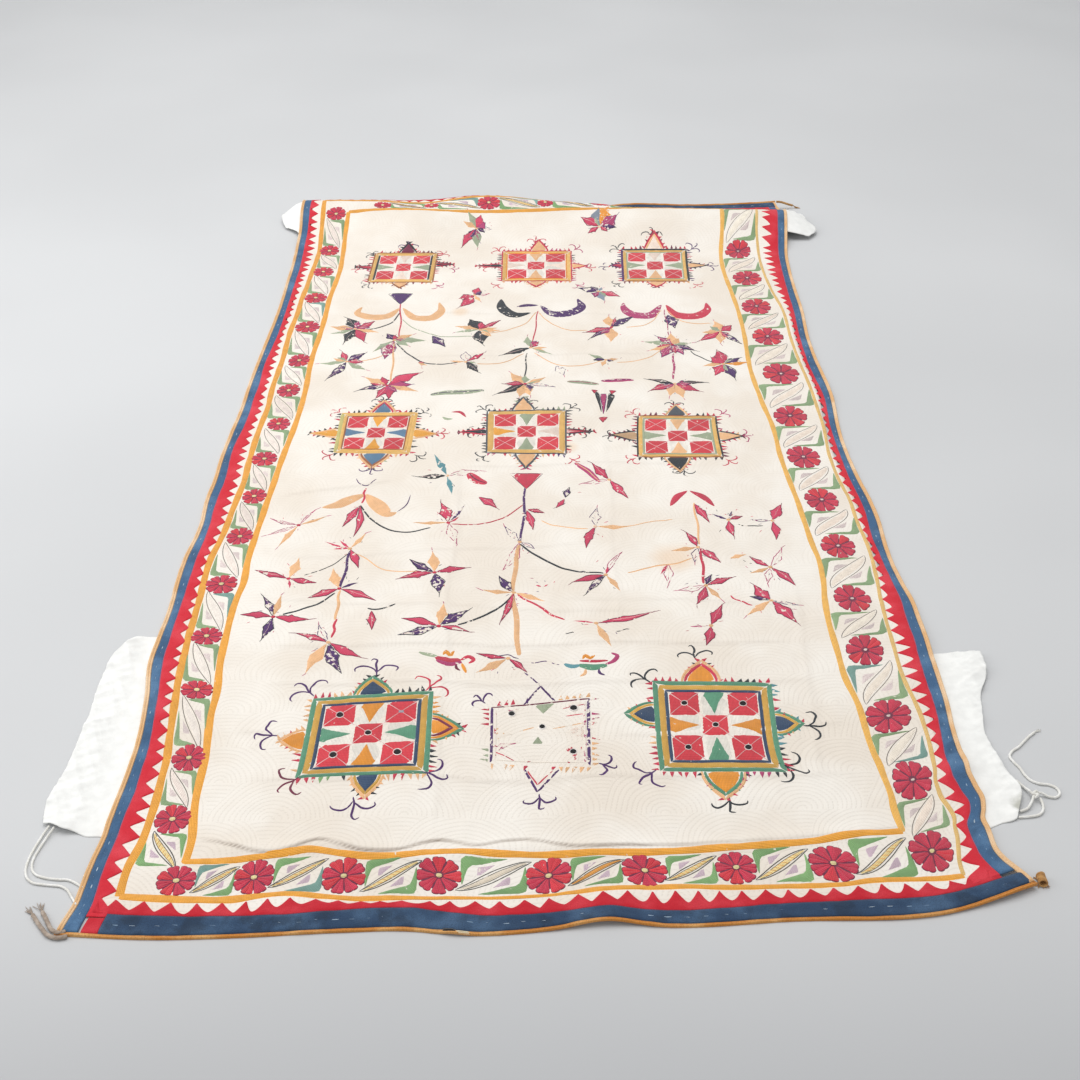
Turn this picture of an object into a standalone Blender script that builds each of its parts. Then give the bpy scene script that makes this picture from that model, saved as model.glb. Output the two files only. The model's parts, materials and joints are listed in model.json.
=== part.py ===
"""A large quilted and embroidered cotton hanging, laid face up on a flat surface.

The cloth is a cream quilted ground with a red strip, a blue binding and an orange piping
round it. Two white cotton sleeves run across its back, and their ends stick out at the
sides with the white tapes that tied them. The far end of the cloth rises over a low ridge.

Everything is first laid out on the flat cloth, in u (across) and v (along, away from the
viewer), and one function, cloth_point, puts that layout where the cloth really lies.
Sizes are in metres, +Z is up, and the origin is under the middle of the whole piece.
"""

import math

import bmesh
import bpy
import numpy as np
from mathutils import Matrix, Vector

# The flat cloth.
HALF_WIDTH = 0.667
NEAR_EDGE = -1.300
FAR_EDGE = 1.205
MIDDLE_SHIFT = 0.052  # from the middle of the pattern to the middle of the piece, along

# What goes round the ground, from the outside in.
PIPING_WIDTH = 0.006
BLUE_WIDTH = 0.027
RED_WIDTH = 0.033
GAP = 0.0003  # between pieces that touch

GROUND_THICK = 0.0026
RED_THICK = 0.0030
BLUE_THICK = 0.0032
BLUE_CROWN = 0.0006
PIPING_THICK = 0.0016
PIPING_CROWN = 0.0026
BAND_THICK = 0.0012
BAND_LIFT = 0.0020  # the ground lies this high where a white sleeve runs under it

# Where the two long edges really lie: v along the cloth, and the edge's place across.
LEFT_EDGE = [
    # v, x
    (-1.300, -0.662),
    (-1.180, -0.656),
    (-0.980, -0.646),
    (-0.850, -0.653),
    (-0.650, -0.669),
    (-0.300, -0.663),
    (0.200, -0.653),
    (0.600, -0.634),
    (0.900, -0.642),
    (1.205, -0.641),
]
RIGHT_EDGE = [
    # v, x
    (-1.300, 0.699),
    (-1.200, 0.682),
    (-1.100, 0.662),
    (-1.040, 0.672),
    (-0.980, 0.659),
    (-0.860, 0.662),
    (-0.700, 0.675),
    (-0.450, 0.660),
    (-0.220, 0.656),
    (0.000, 0.645),
    (0.140, 0.652),
    (0.300, 0.644),
    (0.600, 0.651),
    (0.850, 0.662),
    (1.120, 0.684),
    (1.205, 0.668),
]
# The near edge: u across, and how far along the edge lies.
NEAR_EDGE_LINE = [
    # u, y
    (-0.667, -1.301),
    (-0.550, -1.309),
    (-0.440, -1.307),
    (-0.290, -1.299),
    (-0.200, -1.297),
    (-0.110, -1.306),
    (0.000, -1.299),
    (0.080, -1.288),
    (0.160, -1.294),
    (0.320, -1.285),
    (0.540, -1.273),
    (0.620, -1.248),
    (0.667, -1.229),
]
NEAR_SLANT_REACH = 0.90  # the near edge's slant dies out this far up the cloth

# The far end goes over a ridge. Each row is a section of it: u, then the place along (y)
# and the height (z) of the inner yellow line, the middle of the flowered border, the
# outer yellow line, the inner side of the blue binding, and the cloth's edge.
FAR_FOLD = [
    # u, line y z, border y z, outer line y z, blue y z, edge y z
    (-0.667, 1.060, 0.034, 1.095, 0.045, 1.130, 0.048, 1.153, 0.034, 1.172, 0.006),
    (-0.550, 1.060, 0.034, 1.095, 0.045, 1.130, 0.049, 1.153, 0.034, 1.172, 0.006),
    (-0.460, 1.066, 0.038, 1.103, 0.042, 1.139, 0.044, 1.163, 0.032, 1.183, 0.008),
    (-0.320, 1.070, 0.042, 1.108, 0.038, 1.143, 0.036, 1.168, 0.034, 1.190, 0.010),
    (-0.170, 1.086, 0.031, 1.124, 0.040, 1.160, 0.047, 1.185, 0.035, 1.204, 0.010),
    (0.020, 1.083, 0.036, 1.119, 0.046, 1.150, 0.038, 1.172, 0.022, 1.192, 0.003),
    (0.150, 1.085, 0.041, 1.116, 0.042, 1.140, 0.022, 1.162, 0.008, 1.190, 0.004),
    (0.270, 1.088, 0.042, 1.116, 0.028, 1.143, 0.012, 1.168, 0.008, 1.196, 0.012),
    (0.420, 1.078, 0.043, 1.104, 0.027, 1.131, 0.012, 1.158, 0.009, 1.186, 0.012),
    (0.560, 1.075, 0.042, 1.102, 0.026, 1.129, 0.012, 1.157, 0.012, 1.185, 0.016),
    (0.667, 1.075, 0.040, 1.101, 0.028, 1.128, 0.016, 1.158, 0.015, 1.188, 0.021),
]
FOLD_FOOT = 0.800  # flat up to here
FOLD_START = 0.900
FOLD_LINE = 1.070  # the flat places of the five stations of FAR_FOLD
FOLD_BORDER = 1.105
FOLD_OUTER_LINE = 1.139
FOLD_BLUE = 1.172

# A tuck runs across the near end, just above the inner yellow line.
TUCK_LINE = [
    # u, v
    (-0.530, -1.120),
    (-0.450, -1.150),
    (-0.330, -1.145),
    (-0.200, -1.170),
    (-0.060, -1.150),
    (0.050, -1.163),
    (0.300, -1.155),
    (0.500, -1.135),
]
TUCK_HEIGHT = 0.0050
TUCK_WIDTH = 0.014
TUCK_HALF_LENGTH = 0.500

# Loose puckers of the hem and the cloth: where, how wide and how high.
PUCKERS = [
    # u, v, half width, half length, height
    (0.075, -1.300, 0.050, 0.045, 0.0080),
    (-0.130, -1.300, 0.020, 0.030, 0.0030),
    (0.667, -1.045, 0.060, 0.028, 0.0070),
    (0.640, -1.290, 0.060, 0.040, 0.0070),
    (-0.667, -0.820, 0.060, 0.060, 0.0030),
    (0.667, -0.720, 0.070, 0.060, 0.0040),
    (-0.667, -0.350, 0.070, 0.080, 0.0025),
    (0.667, 0.140, 0.070, 0.060, 0.0030),
    (-0.300, 0.420, 0.160, 0.070, 0.0020),
    (0.250, -0.420, 0.180, 0.060, 0.0020),
    (0.400, 0.520, 0.120, 0.090, 0.0020),
    (-0.180, -0.620, 0.090, 0.050, 0.0022),
]

# The two white sleeves: the ends of the near one, as places along and across.
BAND_LEFT_END = [
    # y, x
    (-1.072, -0.748),
    (-1.035, -0.755),
    (-0.950, -0.745),
    (-0.830, -0.739),
    (-0.700, -0.739),
    (-0.654, -0.732),
    (-0.619, -0.705),
]
BAND_RIGHT_END = [
    # y, x
    (-1.072, 0.704),
    (-1.020, 0.724),
    (-0.965, 0.716),
    (-0.898, 0.707),
    (-0.846, 0.704),
    (-0.792, 0.713),
    (-0.743, 0.722),
    (-0.705, 0.738),
    (-0.665, 0.746),
]
BAND_NEAR_SIDES = [
    # x, near side y, far side y
    (-0.755, -1.044, -0.640),
    (-0.720, -1.058, -0.622),
    (-0.600, -1.080, -0.617),
    (0.000, -1.085, -0.640),
    (0.600, -1.078, -0.668),
    (0.690, -1.052, -0.668),
    (0.755, -1.020, -0.668),
]
BAND_RIPPLES = [
    # x, y, half width, half length, height
    (-0.720, -1.062, 0.022, 0.020, 0.0090),
    (-0.735, -0.860, 0.030, 0.030, 0.0040),
    (-0.720, -0.650, 0.030, 0.040, 0.0050),
    (0.735, -0.700, 0.025, 0.040, 0.0060),
    (0.725, -1.000, 0.020, 0.030, 0.0060),
]
BAND_FREE_FROM = 0.679  # beyond the cloth's edge a sleeve may ripple
BAND_COLUMNS = [0.0, 0.13, 0.26, 0.39, 0.52, 0.62]
BAND_FREE_COLUMNS = [0.0, 0.18, 0.36, 0.56, 0.78, 1.0]
BAND_ROWS = 12
FAR_BAND_NEAR = 0.975  # the far sleeve, along the cloth
FAR_BAND_FAR = FOLD_OUTER_LINE
FAR_BAND_LEFT = -0.722
FAR_BAND_RIGHT = 0.7545
FAR_BAND_DROOP = 0.75  # how much lower its ends hang than at the cloth's edge
FAR_BAND_GAP = 0.0006  # below the cloth, on the bend of the ridge

# Ties. Each route is chosen by hand, as it lies: x, y, and height of the cord's middle.
TAPE_THICK = 0.0036
CORD_THICK = 0.0042
TAIL_THICK = 0.0062
TAPE_Z = 0.0020
CORD_Z = 0.0023
TAIL_Z = 0.0033
TIE_LEFT_OUTER = [
    (-0.7373, -1.0518, 0.0050),
    (-0.7437, -1.0707, 0.0030),
    (-0.748, -1.090, TAPE_Z),
    (-0.7505, -1.106, TAPE_Z),
    (-0.751, -1.122, TAPE_Z),
    (-0.749, -1.137, TAPE_Z),
    (-0.743, -1.149, TAPE_Z),
    (-0.733, -1.157, TAPE_Z),
    (-0.720, -1.160, TAPE_Z),
    (-0.704, -1.162, TAPE_Z),
    (-0.691, -1.164, TAPE_Z),
    (-0.681, -1.170, TAPE_Z),
    (-0.6719, -1.1819, TAPE_Z),
    (-0.6611, -1.1972, TAPE_Z),
]
TIE_LEFT_INNER = [
    (-0.7289, -1.0550, 0.0060),
    (-0.7359, -1.0748, 0.0037),
    (-0.7415, -1.096, TAPE_Z),
    (-0.744, -1.110, TAPE_Z),
    (-0.7435, -1.123, TAPE_Z),
    (-0.740, -1.134, TAPE_Z),
    (-0.733, -1.142, TAPE_Z),
    (-0.722, -1.147, TAPE_Z),
    (-0.709, -1.150, TAPE_Z),
    (-0.696, -1.1515, TAPE_Z),
    (-0.685, -1.152, TAPE_Z),
    (-0.6727, -1.1574, TAPE_Z),
    (-0.6593, -1.1666, TAPE_Z),
]
KNOT_PLACE = (0.7420, -1.0030, 0.0082)
TIE_RIGHT_LONG = [
    (0.7112, -1.0334, 0.0030),
    (0.7239, -1.0279, 0.0036),
    (0.7335, -1.0165, 0.0060),
    KNOT_PLACE,
    (0.7530, -0.9985, 0.0060),
    (0.7640, -1.0030, 0.0030),
    (0.7750, -1.0040, CORD_Z),
    (0.7830, -0.9960, CORD_Z),
    (0.7815, -0.9850, CORD_Z),
    (0.7720, -0.9780, CORD_Z),
    (0.7590, -0.9755, CORD_Z),
    (0.7475, -0.9690, CORD_Z),
    (0.7410, -0.9570, CORD_Z),
    (0.7375, -0.9420, CORD_Z),
    (0.7315, -0.9290, CORD_Z),
    (0.7285, -0.9170, CORD_Z),
    (0.7350, -0.9060, CORD_Z),
    (0.7480, -0.8960, CORD_Z),
    (0.7600, -0.8840, CORD_Z),
    (0.7720, -0.8720, CORD_Z),
    (0.7840, -0.8620, CORD_Z),
]
TIE_RIGHT_SHORT = [
    (0.7233, -0.9684, 0.0030),
    (0.7280, -0.9770, 0.0032),
    (0.7315, -0.9850, 0.0044),
    (0.7376, -0.9968, 0.0071),
]
TIE_RIGHT_LOOP = [
    (0.7485, -1.0085, 0.0062),
    (0.7500, -1.0200, 0.0032),
    (0.7470, -1.0310, CORD_Z),
    (0.7390, -1.0390, CORD_Z),
    (0.7254, -1.0425, CORD_Z),
    (0.7060, -1.0442, CORD_Z),
]
TAIL_NEAR_LEFT_A = [
    (-0.6586, -1.2520, TAIL_Z),
    (-0.6728, -1.2546, TAIL_Z),
    (-0.6860, -1.2500, TAIL_Z),
    (-0.6960, -1.2400, TAIL_Z),
    (-0.7070, -1.2270, TAIL_Z),
    (-0.7170, -1.2140, TAIL_Z),
]
TAIL_NEAR_LEFT_B = [
    (-0.6626, -1.2440, TAIL_Z),
    (-0.6735, -1.2460, TAIL_Z),
    (-0.6840, -1.2400, TAIL_Z),
    (-0.6910, -1.2300, TAIL_Z),
    (-0.6980, -1.2190, TAIL_Z),
    (-0.7050, -1.2090, TAIL_Z),
]
TAIL_FAR_RIGHT = [
    (0.6692, 1.2385, 0.0220),
    (0.6825, 1.2401, 0.0200),
    (0.6950, 1.2410, 0.0160),
    (0.7060, 1.2420, 0.0120),
    (0.7180, 1.2440, 0.0080),
]
KNOT_RING = 0.0052  # from the cord's middle to the middle of the knot's turns
KNOT_TURN = 0.0024
CORNER_KNOT_PLACE = (0.7044, -1.1660, 0.0064)
CORNER_KNOT_SIZE = (0.0070, 0.0105, 0.0061)

# The rows and columns on which every sheet has its points.
FIELD_COLUMNS = 12
FIELD_ROW_STEP = 0.060
INNER_LINE_LEFT = -0.530
INNER_LINE_RIGHT = 0.508
BORDER_COLUMNS = [-0.565, 0.545, 0.575]
EDGE_ROWS = [0.006, 0.033, 0.066]  # insets of the rows at the near edge
TUCK_ROWS = (-1.205, -1.080, 0.014)  # first, end, step
FIELD_ROWS_START = -1.045
FOLD_ROWS_BEFORE = [0.94, 0.975, 1.005, 1.030, 1.050]
COLORS = {
    # linear red, green, blue
    "cream": (0.87, 0.80, 0.69),
    "red": (0.66, 0.05, 0.07),
    "blue": (0.05, 0.12, 0.22),
    "orange": (0.72, 0.33, 0.09),
    "white": (0.90, 0.89, 0.85),
    "taupe": (0.42, 0.35, 0.29),
}
CLOTH_ROUGHNESS = 0.9


def clear_scene():
    for obj in list(bpy.data.objects):
        bpy.data.objects.remove(obj, do_unlink=True)


def new_collection(name):
    collection = bpy.data.collections.new(name)
    bpy.context.scene.collection.children.link(collection)
    return collection


def new_material(name, color_name):
    material = bpy.data.materials.new(name)
    material.use_nodes = True
    shader = material.node_tree.nodes["Principled BSDF"]
    shader.inputs["Base Color"].default_value = (*COLORS[color_name], 1.0)
    shader.inputs["Roughness"].default_value = CLOTH_ROUGHNESS
    shader.inputs["Metallic"].default_value = 0.0
    return material


def smooth_through(places, values, at):
    """Reads a smooth curve through values at places. Values may have a column per point."""
    places = np.asarray(places, float)
    values = np.asarray(values, float)
    slopes = np.gradient(values, places, axis=0)
    at = np.clip(at, places[0], places[-1])
    low = np.clip(np.searchsorted(places, at, side="right") - 1, 0, len(places) - 2)
    step = places[low + 1] - places[low]
    t = (at - places[low]) / step
    if values.ndim == 1:
        first, second = values[low], values[low + 1]
        first_slope, second_slope = slopes[low], slopes[low + 1]
    else:
        column = np.arange(values.shape[1])
        first, second = values[low, column], values[low + 1, column]
        first_slope, second_slope = slopes[low, column], slopes[low + 1, column]
    return (
        first * (1 + 2 * t) * (1 - t) ** 2
        + second * t**2 * (3 - 2 * t)
        + step * (first_slope * t * (1 - t) ** 2 + second_slope * t**2 * (t - 1))
    )


def read_table(rows, column, at):
    table = np.array(rows, float)
    return smooth_through(table[:, 0], table[:, column], at)


def soft_step(low, high, at):
    t = np.clip((at - low) / (high - low), 0.0, 1.0)
    return t * t * (3 - 2 * t)


def bumps(rows, across, along):
    """The summed height of the soft bumps in a table."""
    height = np.zeros_like(across)
    for place_across, place_along, half_width, half_length, size in rows:
        spread = ((across - place_across) / half_width) ** 2
        spread = spread + ((along - place_along) / half_length) ** 2
        height = height + size * np.exp(-spread)
    return height


def far_fold(u, v):
    """Place along and height of the cloth's underside over the ridge at its far end."""
    stations = [FOLD_FOOT, FOLD_START, FOLD_LINE, FOLD_BORDER, FOLD_OUTER_LINE]
    stations += [FOLD_BLUE, FAR_EDGE]
    flat = np.zeros_like(u)
    along = [flat + FOLD_FOOT, flat + FOLD_START]
    height = [flat, flat]
    for station in range(5):
        along.append(read_table(FAR_FOLD, 1 + 2 * station, u))
        height.append(read_table(FAR_FOLD, 2 + 2 * station, u))
    y = smooth_through(stations, np.array(along), v)
    z = smooth_through(stations, np.array(height), v)
    return np.where(v < FOLD_FOOT, v, y), np.maximum(z, 0.0)


def band_lift(y, v):
    """Where a white sleeve lies under the cloth, the cloth lies that much higher."""
    near = soft_step(-1.18, -1.13, y) * (1 - soft_step(-0.56, -0.50, y))
    far = soft_step(0.90, 0.95, v) * (1 - soft_step(1.15, 1.18, v))
    return BAND_LIFT * np.maximum(near, far)


def quilt_swell(u, v):
    """The broad soft swell of the quilted field, which touches the surface between."""
    wave = np.sin(9.0 * u + 2.3 * v) + np.sin(7.0 * v - 3.1 * u + 1.0)
    inside = 1 - soft_step(0.80, 0.90, v)
    return 0.0010 * np.maximum(wave, 0.0) * inside


def cloth_base(u, v):
    """The underside of the cloth at u and v of the flat layout, where it really lies."""
    u, v = np.broadcast_arrays(np.asarray(u, float), np.asarray(v, float))
    shape = u.shape
    u, v = u.ravel(), v.ravel()
    y, z = far_fold(u, v)
    slant = np.clip((NEAR_EDGE + NEAR_SLANT_REACH - v) / NEAR_SLANT_REACH, 0.0, 1.0)
    y = y + (read_table(NEAR_EDGE_LINE, 1, u) - NEAR_EDGE) * slant + MIDDLE_SHIFT
    left = read_table(LEFT_EDGE, 1, v) + HALF_WIDTH
    right = read_table(RIGHT_EDGE, 1, v) - HALF_WIDTH
    x = u + left * np.clip(-u / HALF_WIDTH, 0, 1) + right * np.clip(u / HALF_WIDTH, 0, 1)
    tuck = (v - read_table(TUCK_LINE, 1, u)) / TUCK_WIDTH
    fade = 1 - soft_step(TUCK_HALF_LENGTH - 0.05, TUCK_HALF_LENGTH + 0.03, np.abs(u))
    z = z + TUCK_HEIGHT * np.exp(-(tuck**2)) * fade
    z = z + bumps(PUCKERS, u, v) + quilt_swell(u, v) + band_lift(y, v)
    return np.stack([x, y, z], axis=-1).reshape(*shape, 3)


def cloth_point(u, v, height):
    """The point that lies this height above the underside, square to the cloth."""
    reach = 0.002
    base = cloth_base(u, v)
    across = cloth_base(np.asarray(u) + reach, v) - cloth_base(np.asarray(u) - reach, v)
    along = cloth_base(u, np.asarray(v) + reach) - cloth_base(u, np.asarray(v) - reach)
    normal = np.cross(across, along)
    normal = normal / np.linalg.norm(normal, axis=-1, keepdims=True)
    return base + normal * np.asarray(height)[..., None]


def sheet_mesh(name, bottom, top):
    """A closed sheet between two grids of points, which have the same rows and columns."""
    rows, columns, _ = bottom.shape
    mesh = bmesh.new()
    low = [[mesh.verts.new(p) for p in row] for row in bottom.tolist()]
    high = [[mesh.verts.new(p) for p in row] for row in top.tolist()]
    for i in range(rows - 1):
        for j in range(columns - 1):
            corners = [(i, j), (i, j + 1), (i + 1, j + 1), (i + 1, j)]
            mesh.faces.new([high[a][b] for a, b in corners])
            mesh.faces.new([low[a][b] for a, b in (corners[0], *reversed(corners[1:]))])
    ring = [(0, j) for j in range(columns)]
    ring += [(i, columns - 1) for i in range(1, rows)]
    ring += [(rows - 1, j) for j in range(columns - 2, -1, -1)]
    ring += [(i, 0) for i in range(rows - 2, 0, -1)]
    for (a, b), (c, d) in zip(ring, ring[1:] + ring[:1]):
        wall = [low[a][b], low[c][d], high[c][d], high[a][b]]
        if (c, d) < (a, b):  # so that facing walls of two sheets split the same way
            wall = wall[1:] + wall[:1]
        mesh.faces.new(wall)
    bmesh.ops.triangulate(mesh, faces=mesh.faces[:], quad_method="FIXED")
    data = bpy.data.meshes.new(name)
    mesh.to_mesh(data)
    mesh.free()
    return data


def add_object(name, data, material, collection):
    obj = bpy.data.objects.new(name, data)
    data.materials.append(material)
    collection.objects.link(obj)
    return obj


def between(stations, low, high):
    """The stations between two places, with the two places themselves at the ends."""
    inner = [s for s in stations if low + 0.002 < s < high - 0.002]
    return np.array([low, *inner, high])


def column_stations():
    """The places across at which every sheet has a row of points."""
    insets = [PIPING_WIDTH, PIPING_WIDTH + BLUE_WIDTH / 2, PIPING_WIDTH + BLUE_WIDTH]
    insets.append(insets[-1] + RED_WIDTH)
    sides = [HALF_WIDTH - inset for inset in insets]
    field = np.linspace(INNER_LINE_LEFT, INNER_LINE_RIGHT, FIELD_COLUMNS)
    return sorted([*[-s for s in sides], *sides, *field, *BORDER_COLUMNS])


def row_stations():
    """The places along, close together where the cloth bends most."""
    edge_rows = [NEAR_EDGE + inset for inset in EDGE_ROWS]
    tuck_rows = np.arange(*TUCK_ROWS)
    steps = round((FOLD_START - FIELD_ROWS_START) / FIELD_ROW_STEP)
    field_rows = np.linspace(FIELD_ROWS_START, FOLD_START, steps + 1)
    fold_stations = [FOLD_LINE, FOLD_BORDER, FOLD_OUTER_LINE, FOLD_BLUE, FAR_EDGE]
    between_them = [(a + b) / 2 for a, b in zip(fold_stations, fold_stations[1:])]
    fold_rows = [*FOLD_ROWS_BEFORE, *fold_stations[:-1], *between_them]
    return sorted([*edge_rows, *tuck_rows, *field_rows, *fold_rows, FAR_EDGE - PIPING_WIDTH])


def cloth_piece(name, across, along, thickness, material, collection):
    """A sheet on the cloth. thickness gives its height at each place of its grid."""
    u, v = np.meshgrid(across, along)
    bottom = cloth_point(u, v, np.zeros_like(u))
    top = cloth_point(u, v, thickness(u, v))
    data = sheet_mesh(name, bottom, top)
    return add_object(name, data, material, collection)


def edge_strips(name, inset, width, crown_stations, thickness, material, collection):
    """Four strips round the cloth. The near and far ones run full width, and the two
    side strips stop against them."""
    outer, inner = inset + GAP / 2, inset + width - GAP / 2
    if inset == 0:
        outer = 0.0
    insets = outer + (inner - outer) * np.array(crown_stations)
    columns, rows = column_stations(), row_stations()
    end = HALF_WIDTH - outer
    full = between(columns, -end, end)
    near, far = NEAR_EDGE + insets, FAR_EDGE - insets[::-1]
    butt_near, butt_far = NEAR_EDGE + inner + GAP, FAR_EDGE - inner - GAP
    sides = between(rows, butt_near, butt_far)

    def by_inset(u, v):
        nearest = np.minimum(HALF_WIDTH - np.abs(u), np.minimum(v - NEAR_EDGE, FAR_EDGE - v))
        return thickness((nearest - outer) / (inner - outer))

    pieces = [
        ("near", full, near),
        ("far", full, far),
        ("left", -HALF_WIDTH + insets, sides),
        ("right", HALF_WIDTH - insets[::-1], sides),
    ]
    for side, across, along in pieces:
        cloth_piece(f"{name}_{side}", across, along, by_inset, material, collection)


def make_ground(collection):
    inset = PIPING_WIDTH + BLUE_WIDTH + RED_WIDTH + GAP / 2
    across = between(column_stations(), -HALF_WIDTH + inset, HALF_WIDTH - inset)
    along = between(row_stations(), NEAR_EDGE + inset, FAR_EDGE - inset)
    cream = new_material("quilted_cotton", "cream")

    def even(u, v):
        return np.full_like(u, GROUND_THICK)

    cloth_piece("ground_panel", across, along, even, cream, collection)


def make_edging(collection):
    red = new_material("red_cotton", "red")
    blue = new_material("blue_cotton", "blue")
    orange = new_material("orange_piping", "orange")

    def flat_strip(t):
        return np.full_like(t, RED_THICK)

    def crowned_strip(t):
        return BLUE_THICK - BLUE_CROWN * (2 * np.clip(t, 0, 1) - 1) ** 2

    def round_cord(t):
        return PIPING_THICK + PIPING_CROWN * np.sin(math.pi * np.clip(t, 0, 1))

    blue_inset = PIPING_WIDTH
    red_inset = PIPING_WIDTH + BLUE_WIDTH
    edge_strips("red_strip", red_inset, RED_WIDTH, (0, 1), flat_strip, red, collection)
    edge_strips(
        "blue_binding", blue_inset, BLUE_WIDTH, (0, 0.5, 1), crowned_strip, blue, collection
    )
    edge_strips(
        "piping", 0, PIPING_WIDTH, (0, 0.5, 1), round_cord, orange, collection
    )


def make_near_band(material, collection):
    """The near sleeve: flat under the cloth, with loose ends."""
    free_share = np.array(BAND_FREE_COLUMNS)
    covered = np.array(BAND_COLUMNS)
    first, last = BAND_LEFT_END[0][0], BAND_LEFT_END[-1][0]
    top = []
    for share in np.linspace(0.0, 1.0, BAND_ROWS):
        left = read_table(BAND_LEFT_END, 1, first + (last - first) * share)
        right = read_table(BAND_RIGHT_END, 1, first + (last - first) * share)
        left_end = -BAND_FREE_FROM + (left + BAND_FREE_FROM) * free_share
        right_end = BAND_FREE_FROM + (right - BAND_FREE_FROM) * free_share
        x = np.concatenate([left_end[::-1], -covered[:0:-1], covered, right_end])
        near = read_table(BAND_NEAR_SIDES, 1, x)
        far = read_table(BAND_NEAR_SIDES, 2, x)
        y = near + (far - near) * share
        free = soft_step(BAND_FREE_FROM, BAND_FREE_FROM + 0.030, np.abs(x))
        z = bumps(BAND_RIPPLES, x, y) * free
        top.append(np.stack([x, y, z], axis=-1))
    top = np.array(top)
    bottom = top.copy()
    top[..., 2] += BAND_THICK
    data = sheet_mesh("back_band_near", bottom, top)
    add_object("back_band_near", data, material, collection)


def make_far_band(material, collection):
    """The far sleeve: under the ridge, with its ends drooping past the cloth's sides."""
    inner = HALF_WIDTH - 0.004
    across = between(column_stations(), -inner, inner)
    along = between(row_stations(), FAR_BAND_NEAR, FAR_BAND_FAR)
    u, v = np.meshgrid(across, along)
    middle = cloth_point(u, v, np.full_like(u, -FAR_BAND_GAP))
    under = cloth_point(u, v, np.full_like(u, -FAR_BAND_GAP - BAND_THICK))
    top_parts, bottom_parts = [middle], [under]
    for side, tip in ((-1, FAR_BAND_LEFT), (1, FAR_BAND_RIGHT)):
        column = 0 if side < 0 else -1
        edge_top, edge_bottom = middle[:, column], under[:, column]
        shares = np.array([0.25, 0.5, 0.75, 1.0])
        ends_top, ends_bottom = [], []
        round_off = np.sin(np.linspace(0.25, math.pi - 0.25, len(along)))
        for share in shares:
            reach = (tip - edge_top[:, 0]) * share * (0.72 + 0.28 * round_off)
            sink = 1 - FAR_BAND_DROOP * share**1.5
            low = edge_bottom.copy()
            low[:, 0] += reach
            low[:, 2] *= sink
            high = low + (edge_top - edge_bottom)
            ends_top.append(high)
            ends_bottom.append(low)
        order = slice(None, None, -1) if side < 0 else slice(None)
        top_end = np.stack(ends_top[order], axis=1)
        bottom_end = np.stack(ends_bottom[order], axis=1)
        if side < 0:
            top_parts.insert(0, top_end)
            bottom_parts.insert(0, bottom_end)
        else:
            top_parts.append(top_end)
            bottom_parts.append(bottom_end)
    top = np.concatenate(top_parts, axis=1)
    bottom = np.concatenate(bottom_parts, axis=1)
    data = sheet_mesh("back_band_far", bottom, top)
    add_object("back_band_far", data, material, collection)


def smooth_route(points, step):
    """Points on one smooth curve through the route's points, about a step apart."""
    route = np.array(points, float)
    lengths = np.linalg.norm(np.diff(route, axis=0), axis=1)
    places = np.concatenate([[0.0], np.cumsum(lengths)])
    count = max(4, math.ceil(places[-1] / step)) + 1
    at = np.linspace(0.0, places[-1], count)
    return np.stack([smooth_through(places, route[:, k], at) for k in range(3)], axis=1)


def make_cord(name, route, thickness, material, collection):
    curve = bpy.data.curves.new(name, "CURVE")
    curve.dimensions = "3D"
    curve.bevel_depth = thickness / 2
    curve.bevel_resolution = 2
    curve.use_fill_caps = True
    points = smooth_route(route, 2.0 * thickness)
    spline = curve.splines.new("POLY")
    spline.points.add(len(points) - 1)
    for spline_point, place in zip(spline.points, points.tolist()):
        spline_point.co = (*place, 1.0)
    return add_object(name, curve, material, collection)


def make_knot(material, collection):
    """The knot of the right hand ties: two turns round the long cord."""
    route = np.array(TIE_RIGHT_LONG)
    at = TIE_RIGHT_LONG.index(KNOT_PLACE)
    direction = Vector(route[at + 1] - route[at - 1]).normalized()
    bpy.ops.mesh.primitive_torus_add(
        major_radius=KNOT_RING,
        minor_radius=KNOT_TURN,
        major_segments=16,
        minor_segments=8,
    )
    knot = bpy.context.object
    knot.name = "tie_right_knot"
    knot.data.name = knot.name
    knot.data.materials.append(material)
    turn = direction.to_track_quat("Z", "Y").to_matrix().to_4x4()
    knot.matrix_world = Matrix.Translation(KNOT_PLACE) @ turn
    for holder in list(knot.users_collection):
        holder.objects.unlink(knot)
    collection.objects.link(knot)


def make_corner_knot(material, collection):
    """The frayed end of the piping, wound round the near right corner."""
    mesh = bmesh.new()
    bmesh.ops.create_uvsphere(mesh, u_segments=12, v_segments=8, radius=1.0)
    bmesh.ops.scale(mesh, vec=CORNER_KNOT_SIZE, verts=mesh.verts[:])
    data = bpy.data.meshes.new("corner_knot_near_right")
    mesh.to_mesh(data)
    mesh.free()
    knot = add_object("corner_knot_near_right", data, material, collection)
    knot.location = CORNER_KNOT_PLACE


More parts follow.
